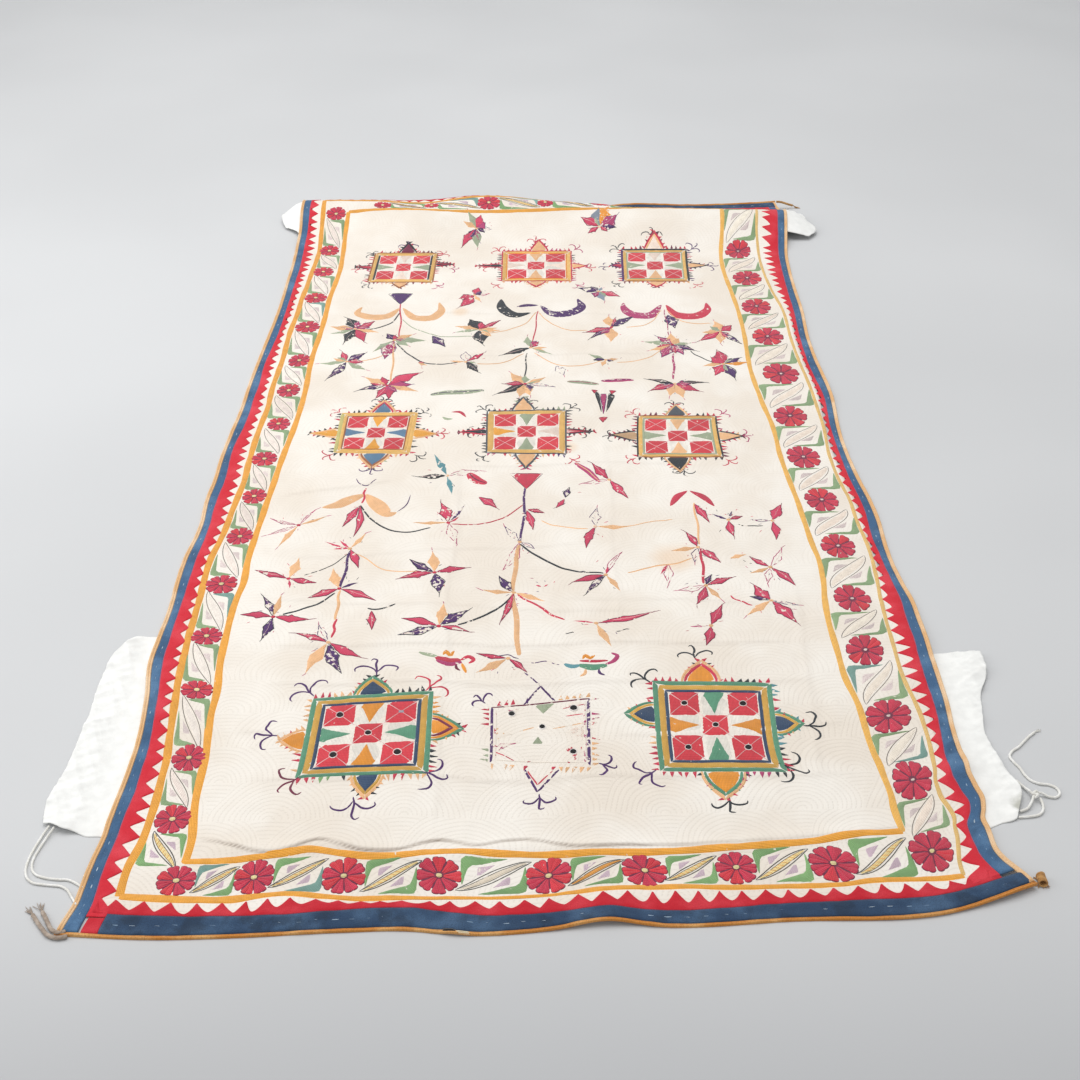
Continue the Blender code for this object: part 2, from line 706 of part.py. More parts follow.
def make_ties(collection):
    tape = new_material("white_tape", "white")
    cord = new_material("white_cord", "white")
    taupe = new_material("taupe_cord", "taupe")
    tan = new_material("tan_cord", "orange")
    make_cord("tie_left_outer", TIE_LEFT_OUTER, TAPE_THICK, tape, collection)
    make_cord("tie_left_inner", TIE_LEFT_INNER, TAPE_THICK, tape, collection)
    make_cord("tie_right_long", TIE_RIGHT_LONG, CORD_THICK, cord, collection)
    make_cord("tie_right_short", TIE_RIGHT_SHORT, CORD_THICK, cord, collection)
    make_cord("tie_right_loop", TIE_RIGHT_LOOP, CORD_THICK, cord, collection)
    make_cord("tail_near_left_a", TAIL_NEAR_LEFT_A, TAIL_THICK, taupe, collection)
    make_cord("tail_near_left_b", TAIL_NEAR_LEFT_B, TAIL_THICK, taupe, collection)
    make_cord("tail_far_right", TAIL_FAR_RIGHT, TAIL_THICK, tan, collection)
    make_knot(cord, collection)
    make_corner_knot(tan, collection)


clear_scene()
hanging = new_collection("embroidered_hanging")
make_ground(hanging)
make_edging(hanging)
white_cotton = new_material("white_cotton", "white")
make_near_band(white_cotton, hanging)
make_far_band(white_cotton, hanging)
make_ties(hanging)
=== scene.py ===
"""The looks of a large quilted, chain-stitched and mirror-worked cotton hanging, laid face up.

Every motif is laid out on the flat cloth, in metres: u across and v along, away from the
viewer. One function, on_cloth, puts that layout where the cloth really lies.
"""

import json
import math
from functools import partial

import bpy
import numpy as np
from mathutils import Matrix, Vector

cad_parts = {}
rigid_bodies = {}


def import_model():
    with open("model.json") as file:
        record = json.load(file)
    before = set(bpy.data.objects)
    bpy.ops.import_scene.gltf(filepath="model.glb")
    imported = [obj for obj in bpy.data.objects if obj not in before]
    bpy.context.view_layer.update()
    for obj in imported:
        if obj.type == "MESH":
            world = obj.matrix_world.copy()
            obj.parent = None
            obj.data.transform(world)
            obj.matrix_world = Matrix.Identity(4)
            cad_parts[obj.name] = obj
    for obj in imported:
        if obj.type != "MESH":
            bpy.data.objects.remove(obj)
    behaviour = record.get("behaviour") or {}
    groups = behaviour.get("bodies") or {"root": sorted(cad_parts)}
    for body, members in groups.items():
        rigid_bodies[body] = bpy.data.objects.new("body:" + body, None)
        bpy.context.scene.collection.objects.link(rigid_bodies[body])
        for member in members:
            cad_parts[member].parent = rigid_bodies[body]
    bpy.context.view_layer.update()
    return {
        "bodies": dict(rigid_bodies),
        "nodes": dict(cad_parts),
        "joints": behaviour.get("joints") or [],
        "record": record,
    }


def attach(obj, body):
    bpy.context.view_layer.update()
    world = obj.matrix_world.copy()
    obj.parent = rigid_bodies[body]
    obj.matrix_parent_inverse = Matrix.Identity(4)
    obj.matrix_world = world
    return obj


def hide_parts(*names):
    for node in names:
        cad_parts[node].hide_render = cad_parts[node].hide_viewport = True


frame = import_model()

# ------------------------------------------------------------------ the way the cloth lies
# One quilted cotton cloth, 1.33 m by 2.5 m, laid on a floor by hand. Its long edges wander,
# the near edge is pulled out to the right, and the far end goes over a low ridge.

def places(text):
    """Rows of millimetres as metres: commas between the rows, spaces between the numbers."""
    return [tuple(float(x) / 1000 for x in row.split()) for row in text.split(",")]


HALF_WIDTH = 0.667
NEAR_EDGE = -1.300
FAR_EDGE = 1.205
MIDDLE_SHIFT = 0.052
GROUND_THICK = 0.0026
BAND_LIFT = 0.0020

# v, x
LEFT_EDGE = places(
    "-1300 -662, -1180 -656, -980 -646, -850 -653, -650 -669, -300 -663, 200 -653, 600 -634, 900 -642,"
    "1205 -641"
)
# v, x
RIGHT_EDGE = places(
    "-1300 699, -1200 682, -1100 662, -1040 672, -980 659, -860 662, -700 675, -450 660, -220 656, 0 645,"
    "140 652, 300 644, 600 651, 850 662, 1120 684, 1205 668"
)
# u, y
NEAR_EDGE_LINE = places(
    "-667 -1301, -550 -1309, -440 -1307, -290 -1299, -200 -1297, -110 -1306, 0 -1299, 80 -1288,"
    "160 -1294, 320 -1285, 540 -1273, 620 -1248, 667 -1229"
)
NEAR_SLANT_REACH = 0.90

# u, then y and z at the inner line, the border, the outer line, the blue and the edge
FAR_FOLD = places(
    "-667 1060 34 1095 45 1130 48 1153 34 1172 6, -550 1060 34 1095 45 1130 49 1153 34 1172 6,"
    "-460 1066 38 1103 42 1139 44 1163 32 1183 8, -320 1070 42 1108 38 1143 36 1168 34 1190 10,"
    "-170 1086 31 1124 40 1160 47 1185 35 1204 10, 20 1083 36 1119 46 1150 38 1172 22 1192 3,"
    "150 1085 41 1116 42 1140 22 1162 8 1190 4, 270 1088 42 1116 28 1143 12 1168 8 1196 12,"
    "420 1078 43 1104 27 1131 12 1158 9 1186 12, 560 1075 42 1102 26 1129 12 1157 12 1185 16,"
    "667 1075 40 1101 28 1128 16 1158 15 1188 21"
)
FOLD_STATIONS = [0.800, 0.900, 1.070, 1.105, 1.139, 1.172, FAR_EDGE]

# u, v
TUCK_LINE = places(
    "-530 -1120, -450 -1150, -330 -1145, -200 -1170, -60 -1150, 50 -1163, 300 -1155, 500 -1135"
)
TUCK_HEIGHT = 0.0050
TUCK_WIDTH = 0.014
TUCK_HALF_LENGTH = 0.500
# u, v: the crooked line where the field hangs over the border, with a painted line of shade and dirt under
# it
TUCK_LIP = places(
    "-530 -1118, -480 -1135, -439 -1151, -409 -1156, -380 -1150, -339 -1136, -307 -1147, -276 -1158,"
    "-238 -1162, -217 -1160, -189 -1145, -160 -1136, -99 -1144, -70 -1138, -40 -1136, -10 -1141,"
    "19 -1153, 48 -1160, 77 -1162, 135 -1158, 222 -1156, 310 -1155, 500 -1135"
)
TUCK_LIP_HEIGHT = 0.0032
CORNER_PULL = 0.015  # the near right corner is drawn to a point
CORNER_PULL_AT = -1.222
CORNER_PULL_REACH = 0.042
CORNER_FLARE = 0.010
EDGE_WANDER = {
    # v, then how far the bound edge wanders to the right as it lies
    "left": places("-1300 -6, -1190 -6, -1165 -5, -1130 -3, -1090 -5, -990 -4, -920 -1, -830 -2,"
                   "-730 -8, -680 -3, -610 3, -575 3, -520 0, -445 -2, -360 4, -320 4, -290 1,"
                   "-240 -2, -190 0, -100 -2, 35 1, 90 3, 190 1, 300 -1, 420 -3, 600 -3, 740 -1,"
                   "800 2, 920 2, 1010 3, 1090 -1, 1205 0"),
    "right": places("-1300 -4, -1255 -12, -1205 -12, -1180 -14, -1158 -14, -1135 -3, -1110 4,"
                    "-1080 -4, -1055 -14, -1030 -13, -980 -2, -930 2, -825 0, -744 -8, -655 -9,"
                    "-590 -5, -525 -7, -410 -6, -326 -2, -258 -4, -187 -9, -100 -9, 5 -6,"
                    "125 -5, 250 -2, 308 -3, 425 -5, 560 -2, 670 -5, 787 -7, 908 -7, 1009 -9,"
                    "1139 -6, 1205 -3"),
}

# u, v, half width, half length, height
PUCKERS = places(
    "75 -1300 50 45 8, -130 -1300 20 30 3, 667 -1045 60 28 7, 640 -1290 60 40 7, -667 -820 60 60 3,"
    "667 -720 70 60 4, -667 -350 70 80 2.5, 667 140 70 60 3, -300 420 160 70 2, 250 -420 180 60 2,"
    "400 520 120 90 2, -180 -620 90 50 2.2"
)

# from u, v, to u, v, height, half width: fold lines left from years of storage
CREASES = places(
    "-500 -690 460 -696 1.1 6, -500 -788 480 -800 1 6, -520 -900 -200 -930 0.9 6,"
    "100 -925 500 -905 0.8 6, -500 -1005 500 -1020 1.1 7, -520 -560 200 -610 0.7 6,"
    "-520 -240 -300 -175 0.9 7, -500 -440 100 -395 0.6 7, 20 -560 480 -590 0.7 6,"
    "-180 -130 300 -115 0.7 7, -500 330 400 350 0.6 8, -450 560 480 540 0.6 8,"
    "-175 -1150 -165 -100 0.7 6, 130 -700 150 500 0.5 8, 430 -1050 455 -500 0.6 7"
)


def smooth_through(places, values, at):
    """Reads a smooth curve through values at places. Values may have a column per point."""
    places = np.asarray(places, float)
    values = np.asarray(values, float)
    slopes = np.gradient(values, places, axis=0)
    at = np.clip(at, places[0], places[-1])
    low = np.clip(np.searchsorted(places, at, side="right") - 1, 0, len(places) - 2)
    step = places[low + 1] - places[low]
    t = (at - places[low]) / step
    if values.ndim == 1:
        first, second = values[low], values[low + 1]
        first_slope, second_slope = slopes[low], slopes[low + 1]
    else:
        column = np.arange(values.shape[1])
        first, second = values[low, column], values[low + 1, column]
        first_slope, second_slope = slopes[low, column], slopes[low + 1, column]
    return (
        first * (1 + 2 * t) * (1 - t) ** 2
        + second * t**2 * (3 - 2 * t)
        + step * (first_slope * t * (1 - t) ** 2 + second_slope * t**2 * (t - 1))
    )


def read_table(rows, column, at):
    table = np.array(rows, float)
    return smooth_through(table[:, 0], table[:, column], at)


def soft_step(low, high, at):
    t = np.clip((at - low) / (high - low), 0.0, 1.0)
    return t * t * (3 - 2 * t)


def bumps(rows, across, along):
    height = np.zeros_like(across)
    for place_across, place_along, half_width, half_length, size in rows:
        spread = ((across - place_across) / half_width) ** 2
        spread = spread + ((along - place_along) / half_length) ** 2
        height = height + size * np.exp(-spread)
    return height


def far_fold(u, v):
    """Place along and height of the cloth over the ridge at its far end."""
    flat = np.zeros_like(u)
    along = [flat + FOLD_STATIONS[0], flat + FOLD_STATIONS[1]]
    height = [flat, flat]
    for station in range(5):
        along.append(read_table(FAR_FOLD, 1 + 2 * station, u))
        height.append(read_table(FAR_FOLD, 2 + 2 * station, u))
    y = smooth_through(FOLD_STATIONS, np.array(along), v)
    z = smooth_through(FOLD_STATIONS, np.array(height), v)
    return np.where(v < FOLD_STATIONS[0], v, y), np.maximum(z, 0.0)


def cloth_base(u, v):
    """The underside of the cloth at u and v of the flat layout, where it really lies."""
    u, v = np.broadcast_arrays(np.asarray(u, float), np.asarray(v, float))
    shape = u.shape
    u, v = u.ravel(), v.ravel()
    y, z = far_fold(u, v)
    slant = np.clip((NEAR_EDGE + NEAR_SLANT_REACH - v) / NEAR_SLANT_REACH, 0.0, 1.0)
    y = y + (read_table(NEAR_EDGE_LINE, 1, u) - NEAR_EDGE) * slant + MIDDLE_SHIFT
    left = read_table(LEFT_EDGE, 1, v) + HALF_WIDTH
    right = read_table(RIGHT_EDGE, 1, v) - HALF_WIDTH
    x = u + left * np.clip(-u / HALF_WIDTH, 0, 1) + right * np.clip(u / HALF_WIDTH, 0, 1)
    tuck = (v - read_table(TUCK_LINE, 1, u)) / TUCK_WIDTH
    fade = 1 - soft_step(TUCK_HALF_LENGTH - 0.05, TUCK_HALF_LENGTH + 0.03, np.abs(u))
    z = z + TUCK_HEIGHT * np.exp(-(tuck**2)) * fade
    off_pull = (v - CORNER_PULL_AT) / CORNER_PULL_REACH
    pulled_in = np.exp(-(off_pull**2)) * soft_step(0.46, HALF_WIDTH, u)
    flared_out = soft_step(-1.235, NEAR_EDGE, v) * soft_step(-0.50, -HALF_WIDTH, u)
    x = x - CORNER_PULL * pulled_in - CORNER_FLARE * flared_out
    for side, sign in (("left", -1), ("right", 1)):
        beside = soft_step(0.50, HALF_WIDTH, sign * u)
        x = x + read_table(EDGE_WANDER[side], 1, v) * beside
    wave = np.sin(9.0 * u + 2.3 * v) + np.sin(7.0 * v - 3.1 * u + 1.0)
    z = z + 0.0010 * np.maximum(wave, 0.0) * (1 - soft_step(0.80, 0.90, v))
    sleeve = soft_step(-1.18, -1.13, y) * (1 - soft_step(-0.56, -0.50, y))  # they lie under it
    far_sleeve = soft_step(0.90, 0.95, v) * (1 - soft_step(1.15, 1.18, v))
    z = z + bumps(PUCKERS, u, v) + BAND_LIFT * np.maximum(sleeve, far_sleeve)
    return np.stack([x, y, z], axis=-1).reshape(*shape, 3)


def beside_crease(line, u, v):
    """The share reached of a crease's length, and the distance from its wavering line."""
    u0, v0, u1, v1 = line
    run = np.array([u1 - u0, v1 - v0])
    length = np.hypot(*run)
    share = ((u - u0) * run[0] + (v - v0) * run[1]) / length**2
    aside = ((v - v0) * run[0] - (u - u0) * run[1]) / length
    return share, aside + 0.004 * np.sin(share * length * 19.0 + u0 * 40)


def wrinkles(u, v):
    """Small relief of the worn cloth: the stored creases and a fine soft crumple."""
    height = np.zeros_like(u)
    for *line, size, half_width in CREASES:
        share, aside = beside_crease(line, u, v)
        ends = soft_step(0.0, 0.15, share) * (1 - soft_step(0.85, 1.0, share))
        height = height + size * np.exp(-((aside / half_width) ** 2)) * ends
    for k in range(14):
        turn, wave = 2.4 * k, 70.0 + 13.0 * k
        along = u * math.cos(turn) + v * math.sin(turn)
        height = height + 0.00010 * np.sin(wave * along + 3.0 * np.sin(9 * u + k))
    lip = v - read_table(TUCK_LIP, 1, u)  # the tuck's near side is its steep one
    fade = soft_step(-0.53, -0.46, u) * (1 - soft_step(0.16, 0.40, u))
    steep = soft_step(-0.0022, 0.0022, lip) * np.exp(-np.maximum(lip, 0) / 0.022)
    return height + TUCK_LIP_HEIGHT * steep * fade


def on_cloth(u, v, height, crumpled=True):
    """The point this height above the underside, square to the cloth."""
    reach = 0.002
    u, v = np.broadcast_arrays(np.asarray(u, float), np.asarray(v, float))
    base = cloth_base(u, v)
    across = cloth_base(u + reach, v) - cloth_base(u - reach, v)
    along = cloth_base(u, v + reach) - cloth_base(u, v - reach)
    normal = np.cross(across, along)
    normal = normal / np.linalg.norm(normal, axis=-1, keepdims=True)
    height = np.broadcast_to(np.asarray(height, float), u.shape)
    if crumpled:
        height = height + wrinkles(u.ravel(), v.ravel()).reshape(u.shape)
    return base + normal * height[..., None]


# ------------------------------------------------------------------ the quilted ground
# Two layers of undyed cotton with a thin filling, hand-quilted in rows of fans with running
# stitches about 5 mm apart in rows 8 mm apart. It carries all the embroidery.

COTTON_FRESH = "#F1EBE2"
COTTON_DULL = "#E8DED1"
# painted shade for the sunk quilting stitches
QUILTING_SHADE = "#B9A98F"
STAIN = "#E8C7A4"
SOIL_AND_SHADE_COLOR = "#8D7C6E"  # grey-brown painted shade and dirt along the tuck and the old creases
# u, v, reach: brownish tide marks
STAINS = places("250 -450 60, 20 10 25, 300 30 30, -200 560 30, 60 -60 30")
GROUND_INSET = 0.0335  # it runs on under the red sawtooth strips, as far as the blue
GROUND_COLUMNS = 186
GROUND_STEP = 0.0066
TUCK_STEP = 0.0026
LOW_EVERY = 3  # the underside has every third row and column


def linear(color):
    """An sRGB hex colour as linear red, green and blue."""
    values = [int(color[i : i + 2], 16) / 255 for i in (1, 3, 5)]
    return [c / 12.92 if c <= 0.04045 else ((c + 0.055) / 1.055) ** 2.4 for c in values]


def mesh_object(name, points, faces, coords=None, smooth=True):
    """A mesh piece. coords gives each point its place on the material, in metres."""
    data = bpy.data.meshes.new(name)
    data.from_pydata([tuple(p) for p in points], [], faces)
    if coords is not None:
        layer = data.uv_layers.new(name="cloth")
        corner = np.empty(len(data.loops), dtype=np.int32)
        data.loops.foreach_get("vertex_index", corner)
        layer.data.foreach_set("uv", np.asarray(coords, float)[corner].ravel())
    data.shade_smooth() if smooth else data.shade_flat()
    obj = bpy.data.objects.new(name, data)
    bpy.context.scene.collection.objects.link(obj)
    return obj


def add_node(material, kind, settings=None, **inputs):
    """Adds a node with its settings, and links or sets its inputs, spaces written as _."""
    tree = material.node_tree
    node = tree.nodes.new(kind)
    for key, value in (settings or {}).items():
        setattr(node, key, value)
    for key, value in inputs.items():
        key = int(key[1:]) if key[0] == "i" and key[1:].isdigit() else key.replace("_", " ")
        if isinstance(value, bpy.types.NodeSocket):
            tree.links.new(value, node.inputs[key])
        else:
            node.inputs[key].default_value = value
    return node


def cotton_material(name, roughness, sheen):
    """A matt cotton: a Principled shader, with its socket values set directly."""
    material = bpy.data.materials.new(name)
    material.use_nodes = True
    shader = material.node_tree.nodes["Principled BSDF"]
    shader.inputs["Roughness"].default_value = roughness
    shader.inputs["Specular IOR Level"].default_value = 0.25
    shader.inputs["Sheen Weight"].default_value = sheen
    shader.inputs["Sheen Roughness"].default_value = 0.6
    return material, shader


def link(material, output, shader, name):
    material.node_tree.links.new(output, shader.inputs[name])


def cloth_place(material):
    """The place on the flat cloth, in metres."""
    return add_node(material, "ShaderNodeUVMap", {"uv_map": "cloth"}).outputs[0]


def noise(material, place, scale, detail):
    node = add_node(material, "ShaderNodeTexNoise", i0=place, Scale=scale, Detail=detail)
    return node.outputs[0]


def distance_to(material, place, u, v):
    settings = {"operation": "DISTANCE"}
    return add_node(material, "ShaderNodeVectorMath", settings, i0=place, i1=(u, v, 0.0)).outputs[1]


def add_bump(material, shader, height, distance, strength):
    """Relief: distance is how far a height of 1 stands out."""
    sizes = {"Distance": distance, "Strength": strength}
    bump = add_node(material, "ShaderNodeBump", Height=height, **sizes)
    link(material, bump.outputs[0], shader, "Normal")


def math_node(material, operation, first, second=0.0, third=0.0):
    settings = {"operation": operation}
    return add_node(material, "ShaderNodeMath", settings, i0=first, i1=second, i2=third).outputs[0]


def sum_of_squares(material, first, second):
    square = math_node(material, "MULTIPLY", second, second)
    return math_node(material, "MULTIPLY_ADD", first, first, square)


def smooth_range(material, value, low, high):
    """0 where value is at low, 1 where it is at high, and smooth between."""
    settings = {"interpolation_type": "SMOOTHSTEP"}
    if low < high:
        ends = {"From_Min": low, "From_Max": high, "To_Min": 0.0, "To_Max": 1.0}
    else:
        ends = {"From_Min": high, "From_Max": low, "To_Min": 1.0, "To_Max": 0.0}
    return add_node(material, "ShaderNodeMapRange", settings, Value=value, **ends).outputs[0]


def mix_values(material, share, first, second):
    """first where share is 0 and second where it is 1."""
    step = math_node(material, "SUBTRACT", second, first)
    return math_node(material, "MULTIPLY_ADD", step, share, first)


def mix_color(material, share, first, second):
    """Two colours, hex or from a node, mixed by share."""
    node = add_node(material, "ShaderNodeMix", {"data_type": "RGBA"}, i0=share)
    for place, color in ((6, first), (7, second)):
        if isinstance(color, str):
            node.inputs[place].default_value = (*linear(color), 1.0)
        else:
            material.node_tree.links.new(color, node.inputs[place])
    return node.outputs[2]


def blend_colors(material, value, low_color, high_color, low, high):
    return mix_color(material, smooth_range(material, value, low, high), low_color, high_color)


def sheet_faces(rows, columns):
    at = np.arange(rows * columns).reshape(rows, columns)
    quads = np.stack([at[:-1, :-1], at[:-1, 1:], at[1:, 1:], at[1:, :-1]], axis=-1)
    return quads.reshape(-1, 4).tolist()


def soil_at(u, v):
    """Painted shade and dirt: a dark line beside the tuck, and faint dark lines on the near sides of the
    creases.
    """
    line = v - read_table(TUCK_LIP, 1, u) + 0.0012
    fade = soft_step(-0.53, -0.49, u) * (1 - 0.75 * soft_step(0.08, 0.34, u))
    broken = 0.78 + 0.22 * np.sin(23 * u + 2 * np.sin(41 * u))
    soil = np.exp(-((line / 0.0019) ** 2)) * fade * broken
    for *line, size, half_width in CREASES:
        share, aside = beside_crease(line, u, v)
        ends = soft_step(0.0, 0.1, share) * (1 - soft_step(0.9, 1.0, share))
        off_shaded_soil = (aside + 0.003) / 0.004  # the painted shade and dirt lie on the near side of the crease
        soil = np.maximum(soil, 150 * size * np.exp(-(off_shaded_soil**2)) * ends)
    return soil


def make_ground():
    near, far = NEAR_EDGE + GROUND_INSET, FAR_EDGE - GROUND_INSET
    across = np.linspace(-HALF_WIDTH + GROUND_INSET, HALF_WIDTH - GROUND_INSET, GROUND_COLUMNS + 1)
    coarse = np.arange(near, far, GROUND_STEP)
    fine = np.arange(-1.190, -1.100, TUCK_STEP)
    along = np.concatenate([coarse[(coarse < -1.190) | (coarse > -1.100)], fine, [far]])
    along = np.unique(along.round(6))
    extra = (len(along) - 1) % LOW_EVERY
    along = np.delete(along, np.arange(2, 2 + 2 * extra, 2))
    u, v = np.meshgrid(across, along)
    top = on_cloth(u, v, GROUND_THICK)
    low_u, low_v = u[::LOW_EVERY, ::LOW_EVERY], v[::LOW_EVERY, ::LOW_EVERY]
    low = on_cloth(low_u, low_v, 0.0, crumpled=False)
    rows, columns = u.shape
    low_rows, low_columns = low_u.shape
    first_low = rows * columns
    faces = sheet_faces(rows, columns)
    faces += [[first_low + k for k in quad[::-1]] for quad in sheet_faces(low_rows, low_columns)]

    def wall(tops, lows):
        for k in range(len(lows) - 1):
            upper = tops[k * LOW_EVERY : (k + 1) * LOW_EVERY + 1]
            faces.append([first_low + lows[k], first_low + lows[k + 1], *upper[::-1]])

    at = np.arange(rows * columns).reshape(rows, columns)
    low_at = np.arange(low_rows * low_columns).reshape(low_rows, low_columns)
    wall(at[0].tolist(), low_at[0].tolist())
    wall(at[:, -1].tolist(), low_at[:, -1].tolist())
    wall(at[-1, ::-1].tolist(), low_at[-1, ::-1].tolist())
    wall(at[::-1, 0].tolist(), low_at[::-1, 0].tolist())
    points = np.concatenate([top.reshape(-1, 3), low.reshape(-1, 3)])
    coords = np.concatenate(
        [np.stack([u, v], -1).reshape(-1, 2), np.stack([low_u, low_v], -1).reshape(-1, 2)]
    )
    sheet = mesh_object("quilted_ground", points, faces, coords)
    # the painted shade and dirt, kept on the points for the material
    soil = soil_at(coords[:, 0], coords[:, 1])
    layer = sheet.data.color_attributes.new("soil", "FLOAT_COLOR", "POINT")
    layer.data.foreach_set("color", np.repeat(soil, 4))
    return sheet


def ground_material():
    """Plain-woven undyed cotton, quilted by hand: matt, soft, a little yellowed and stained."""
    material, shader = cotton_material("quilted_undyed_cotton", 0.92, 0.12)
    calc = partial(math_node, material)
    place = cloth_place(material)
    split = add_node(material, "ShaderNodeSeparateXYZ", i0=place)
    u, v = split.outputs[0], split.outputs[1]

    # Fans of quilting 0.2 m wide, each over the half of the one beyond it.
    pitch, row_step = 0.200, 0.078
    sway = noise(material, place, 9.0, 1.0)
    sway_u = calc("MULTIPLY_ADD", sway, 0.040, u)
    row = calc("FLOOR", calc("DIVIDE", v, row_step))
    up = calc("SUBTRACT", v, calc("MULTIPLY", row, row_step))
    odd = calc("FLOORED_MODULO", row, 2.0)
    shifted = calc("MULTIPLY_ADD", odd, pitch / 2, sway_u)
    aside = calc("PINGPONG", shifted, pitch / 2)
    other = calc("SUBTRACT", pitch / 2, aside)
    further = calc("ADD", up, row_step)
    near_arc = calc("SQRT", sum_of_squares(material, aside, up))
    far_arc = calc("SQRT", sum_of_squares(material, other, further))
    inside = calc("LESS_THAN", near_arc, pitch / 2)
    arc = mix_values(material, inside, far_arc, near_arc)
    across_fan = mix_values(material, inside, other, aside)
    along_fan = mix_values(material, inside, further, up)
    angle = calc("ARCTAN2", along_fan, across_fan)
    stitch_row = calc("PINGPONG", arc, 0.0040)  # rows 8 mm apart
    groove = smooth_range(material, stitch_row, 0.0, 0.0022)
    run = calc("MULTIPLY", angle, arc)
    dash = calc("PINGPONG", run, 0.0030)  # stitches 6 mm from one to the next
    hole = smooth_range(material, dash, 0.0004, 0.0016)
    sunk = calc("MULTIPLY", calc("SUBTRACT", 1.0, groove), hole)
    worn_flat = smooth_range(material, v, -0.95, -0.55)  # pressed flat towards the middle
    depth = calc("MULTIPLY_ADD", worn_flat, -0.45, 1.0)
    quilting = calc("MULTIPLY", calc("SUBTRACT", 1.0, sunk), depth)

    # Weave: the real threads are 0.4 mm apart and are drawn 1.6 mm apart so that they show.
    warp = calc("SINE", calc("MULTIPLY", u, 3900.0))
    weft = calc("SINE", calc("MULTIPLY", v, 3900.0))
    weave = calc("MULTIPLY", warp, weft)
    slub = noise(material, place, 520.0, 3.0)
    soft = noise(material, place, 34.0, 4.0)
    height = calc("MULTIPLY_ADD", weave, 0.00004, 0.0)
    height = calc("MULTIPLY_ADD", slub, 0.00035, height)
    height = calc("MULTIPLY_ADD", soft, 0.0022, height)
    height = calc("MULTIPLY_ADD", quilting, 0.00085, height)
    add_bump(material, shader, height, 1.0, 0.48)

    # Age: broad yellowing and a peach stain by the middle. Painted shade: a darker tint in the sunk
    # quilting stitches.
    cloud = noise(material, place, 5.0, 5.0)
    fresh = blend_colors(material, cloud, COTTON_DULL, COTTON_FRESH, 0.35, 0.65)
    stain = None
    for stain_u, stain_v, reach in STAINS:
        spot = distance_to(material, place, stain_u, stain_v)
        spot = calc("MULTIPLY_ADD", cloud, reach * 0.9, spot)
        spot = smooth_range(material, spot, reach * 1.5, reach * 0.7)
        stain = spot if stain is None else calc("MAXIMUM", stain, spot)
    stained = mix_color(material, calc("MULTIPLY", stain, 0.55), fresh, STAIN)
    # Painted shade: the sunk stitch holes of the quilting are tinted darker.
    quilting_shade = calc("MULTIPLY", sunk, 0.10)
    quilting_shaded = mix_color(material, quilting_shade, stained, QUILTING_SHADE)
    # Painted shade and dirt: a grey-brown line beside the tuck and on the near sides of the creases.
    soil = add_node(material, "ShaderNodeVertexColor", {"layer_name": "soil"}).outputs[0]
    soil = calc("MULTIPLY", soil, 0.85)
    link(material, mix_color(material, soil, quilting_shaded, SOIL_AND_SHADE_COLOR), shader, "Base Color")
    return material


ground = make_ground()
ground.data.materials.append(ground_material())
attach(ground, "root")
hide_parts("ground_panel")

# ------------------------------------------------------------------ the yellow lines
# Two lines of close chain stitch in golden yellow cotton frame the flowered border. Each is
# several rows wide and wanders a little, because it was laid by eye.

THREADS = {
    "yellow": "#F3A93A",
    "crimson": "#D2334F",
    "red": "#DE3644",
    "rose": "#DA3C62",
    "magenta": "#BE3C74",
    "purple": "#4C1F66",
    "night": "#252C33",
    "peach": "#F6C08C",
    "orange": "#F09A2E",
    "ochre": "#DDAA4A",
    "palegreen": "#A9B596",
    "teal": "#5E9AA4",
    "greyblue": "#8C97A6",
    "navy": "#2B4768",
    "green": "#5A9878",
    "leafgreen": "#86B273",
    "lilac": "#D9C0CC",
    "pink": "#EBC4C2",
    "blush": "#FAE4D4",
    "cream": "#F6EFE3",
    "grey": "#5A5852",
    "wine": "#7A2444",
    "gold": "#F6CB7C",
    "amber": "#F3B957",
    "honey": "#F0BE6A",
    "lime": "#DCD184",
    "rust": "#A9663A",
    "mist": "#5F83A2",
    "slate": "#4E545C",
    "tan": "#C9A27A",
    "white": "#F7F1EC",
    "black": "#17181C",
}
EDGE_SUNK = 0.0002
ROW_WIDE = 0.0022  # the real rows are 1.5 mm wide and are drawn coarser so that they show
LINK_LONG = 0.0036
ROW_HIGH = 0.0009  # one row of stitches stands this far above the ground
PATCH_HIGH = 0.0011  # and a patch worked full does this
YELLOW_WIDE = 0.0118
chance = np.random.default_rng(7)
INNER_LINES = {
    # u, v
    "left": places("-532 1084, -533 1010, -532 916, -531 795, -540 679, -544 624, -543 571,"
                   "-541 467, -540 320, -531 182, -530 95, -531 33, -538 -103, -543 -240,"
                   "-548 -375, -547 -445, -543 -517, -548 -564, -549 -665, -550 -728, -549 -803,"
                   "-553 -874, -551 -919, -548 -956, -548 -1006, -545 -1047, -540 -1083,"
                   "-532 -1126, -531 -1168"),
    "near": places("-535 -1166, -452 -1165, -394 -1159, -350 -1153, -305 -1162, -260 -1170,"
                   "-216 -1171, -172 -1163, -128 -1157, -70 -1160, -10 -1167, 48 -1172,"
                   "105 -1173, 162 -1169, 220 -1166, 338 -1162, 398 -1156, 429 -1149,"
                   "461 -1144, 526 -1144"),
    "right": places("526 -1146, 527 -1122, 526 -1080, 519 -1036, 523 -993, 522 -947, 520 -899,"
                    "515 -851, 504 -800, 497 -722, 496 -639, 504 -576, 515 -519, 521 -455,"
                    "518 -411, 515 -325, 513 -257, 510 -186, 510 -101, 514 6, 498 131, 496 246,"
                    "499 312, 504 428, 501 562, 493 674, 484 790, 484 908, 486 973, 487 1072"),
    "far": places("487 1072, 300 1066, 80 1074, -120 1074, -250 1076, -400 1090, -532 1084"),
}
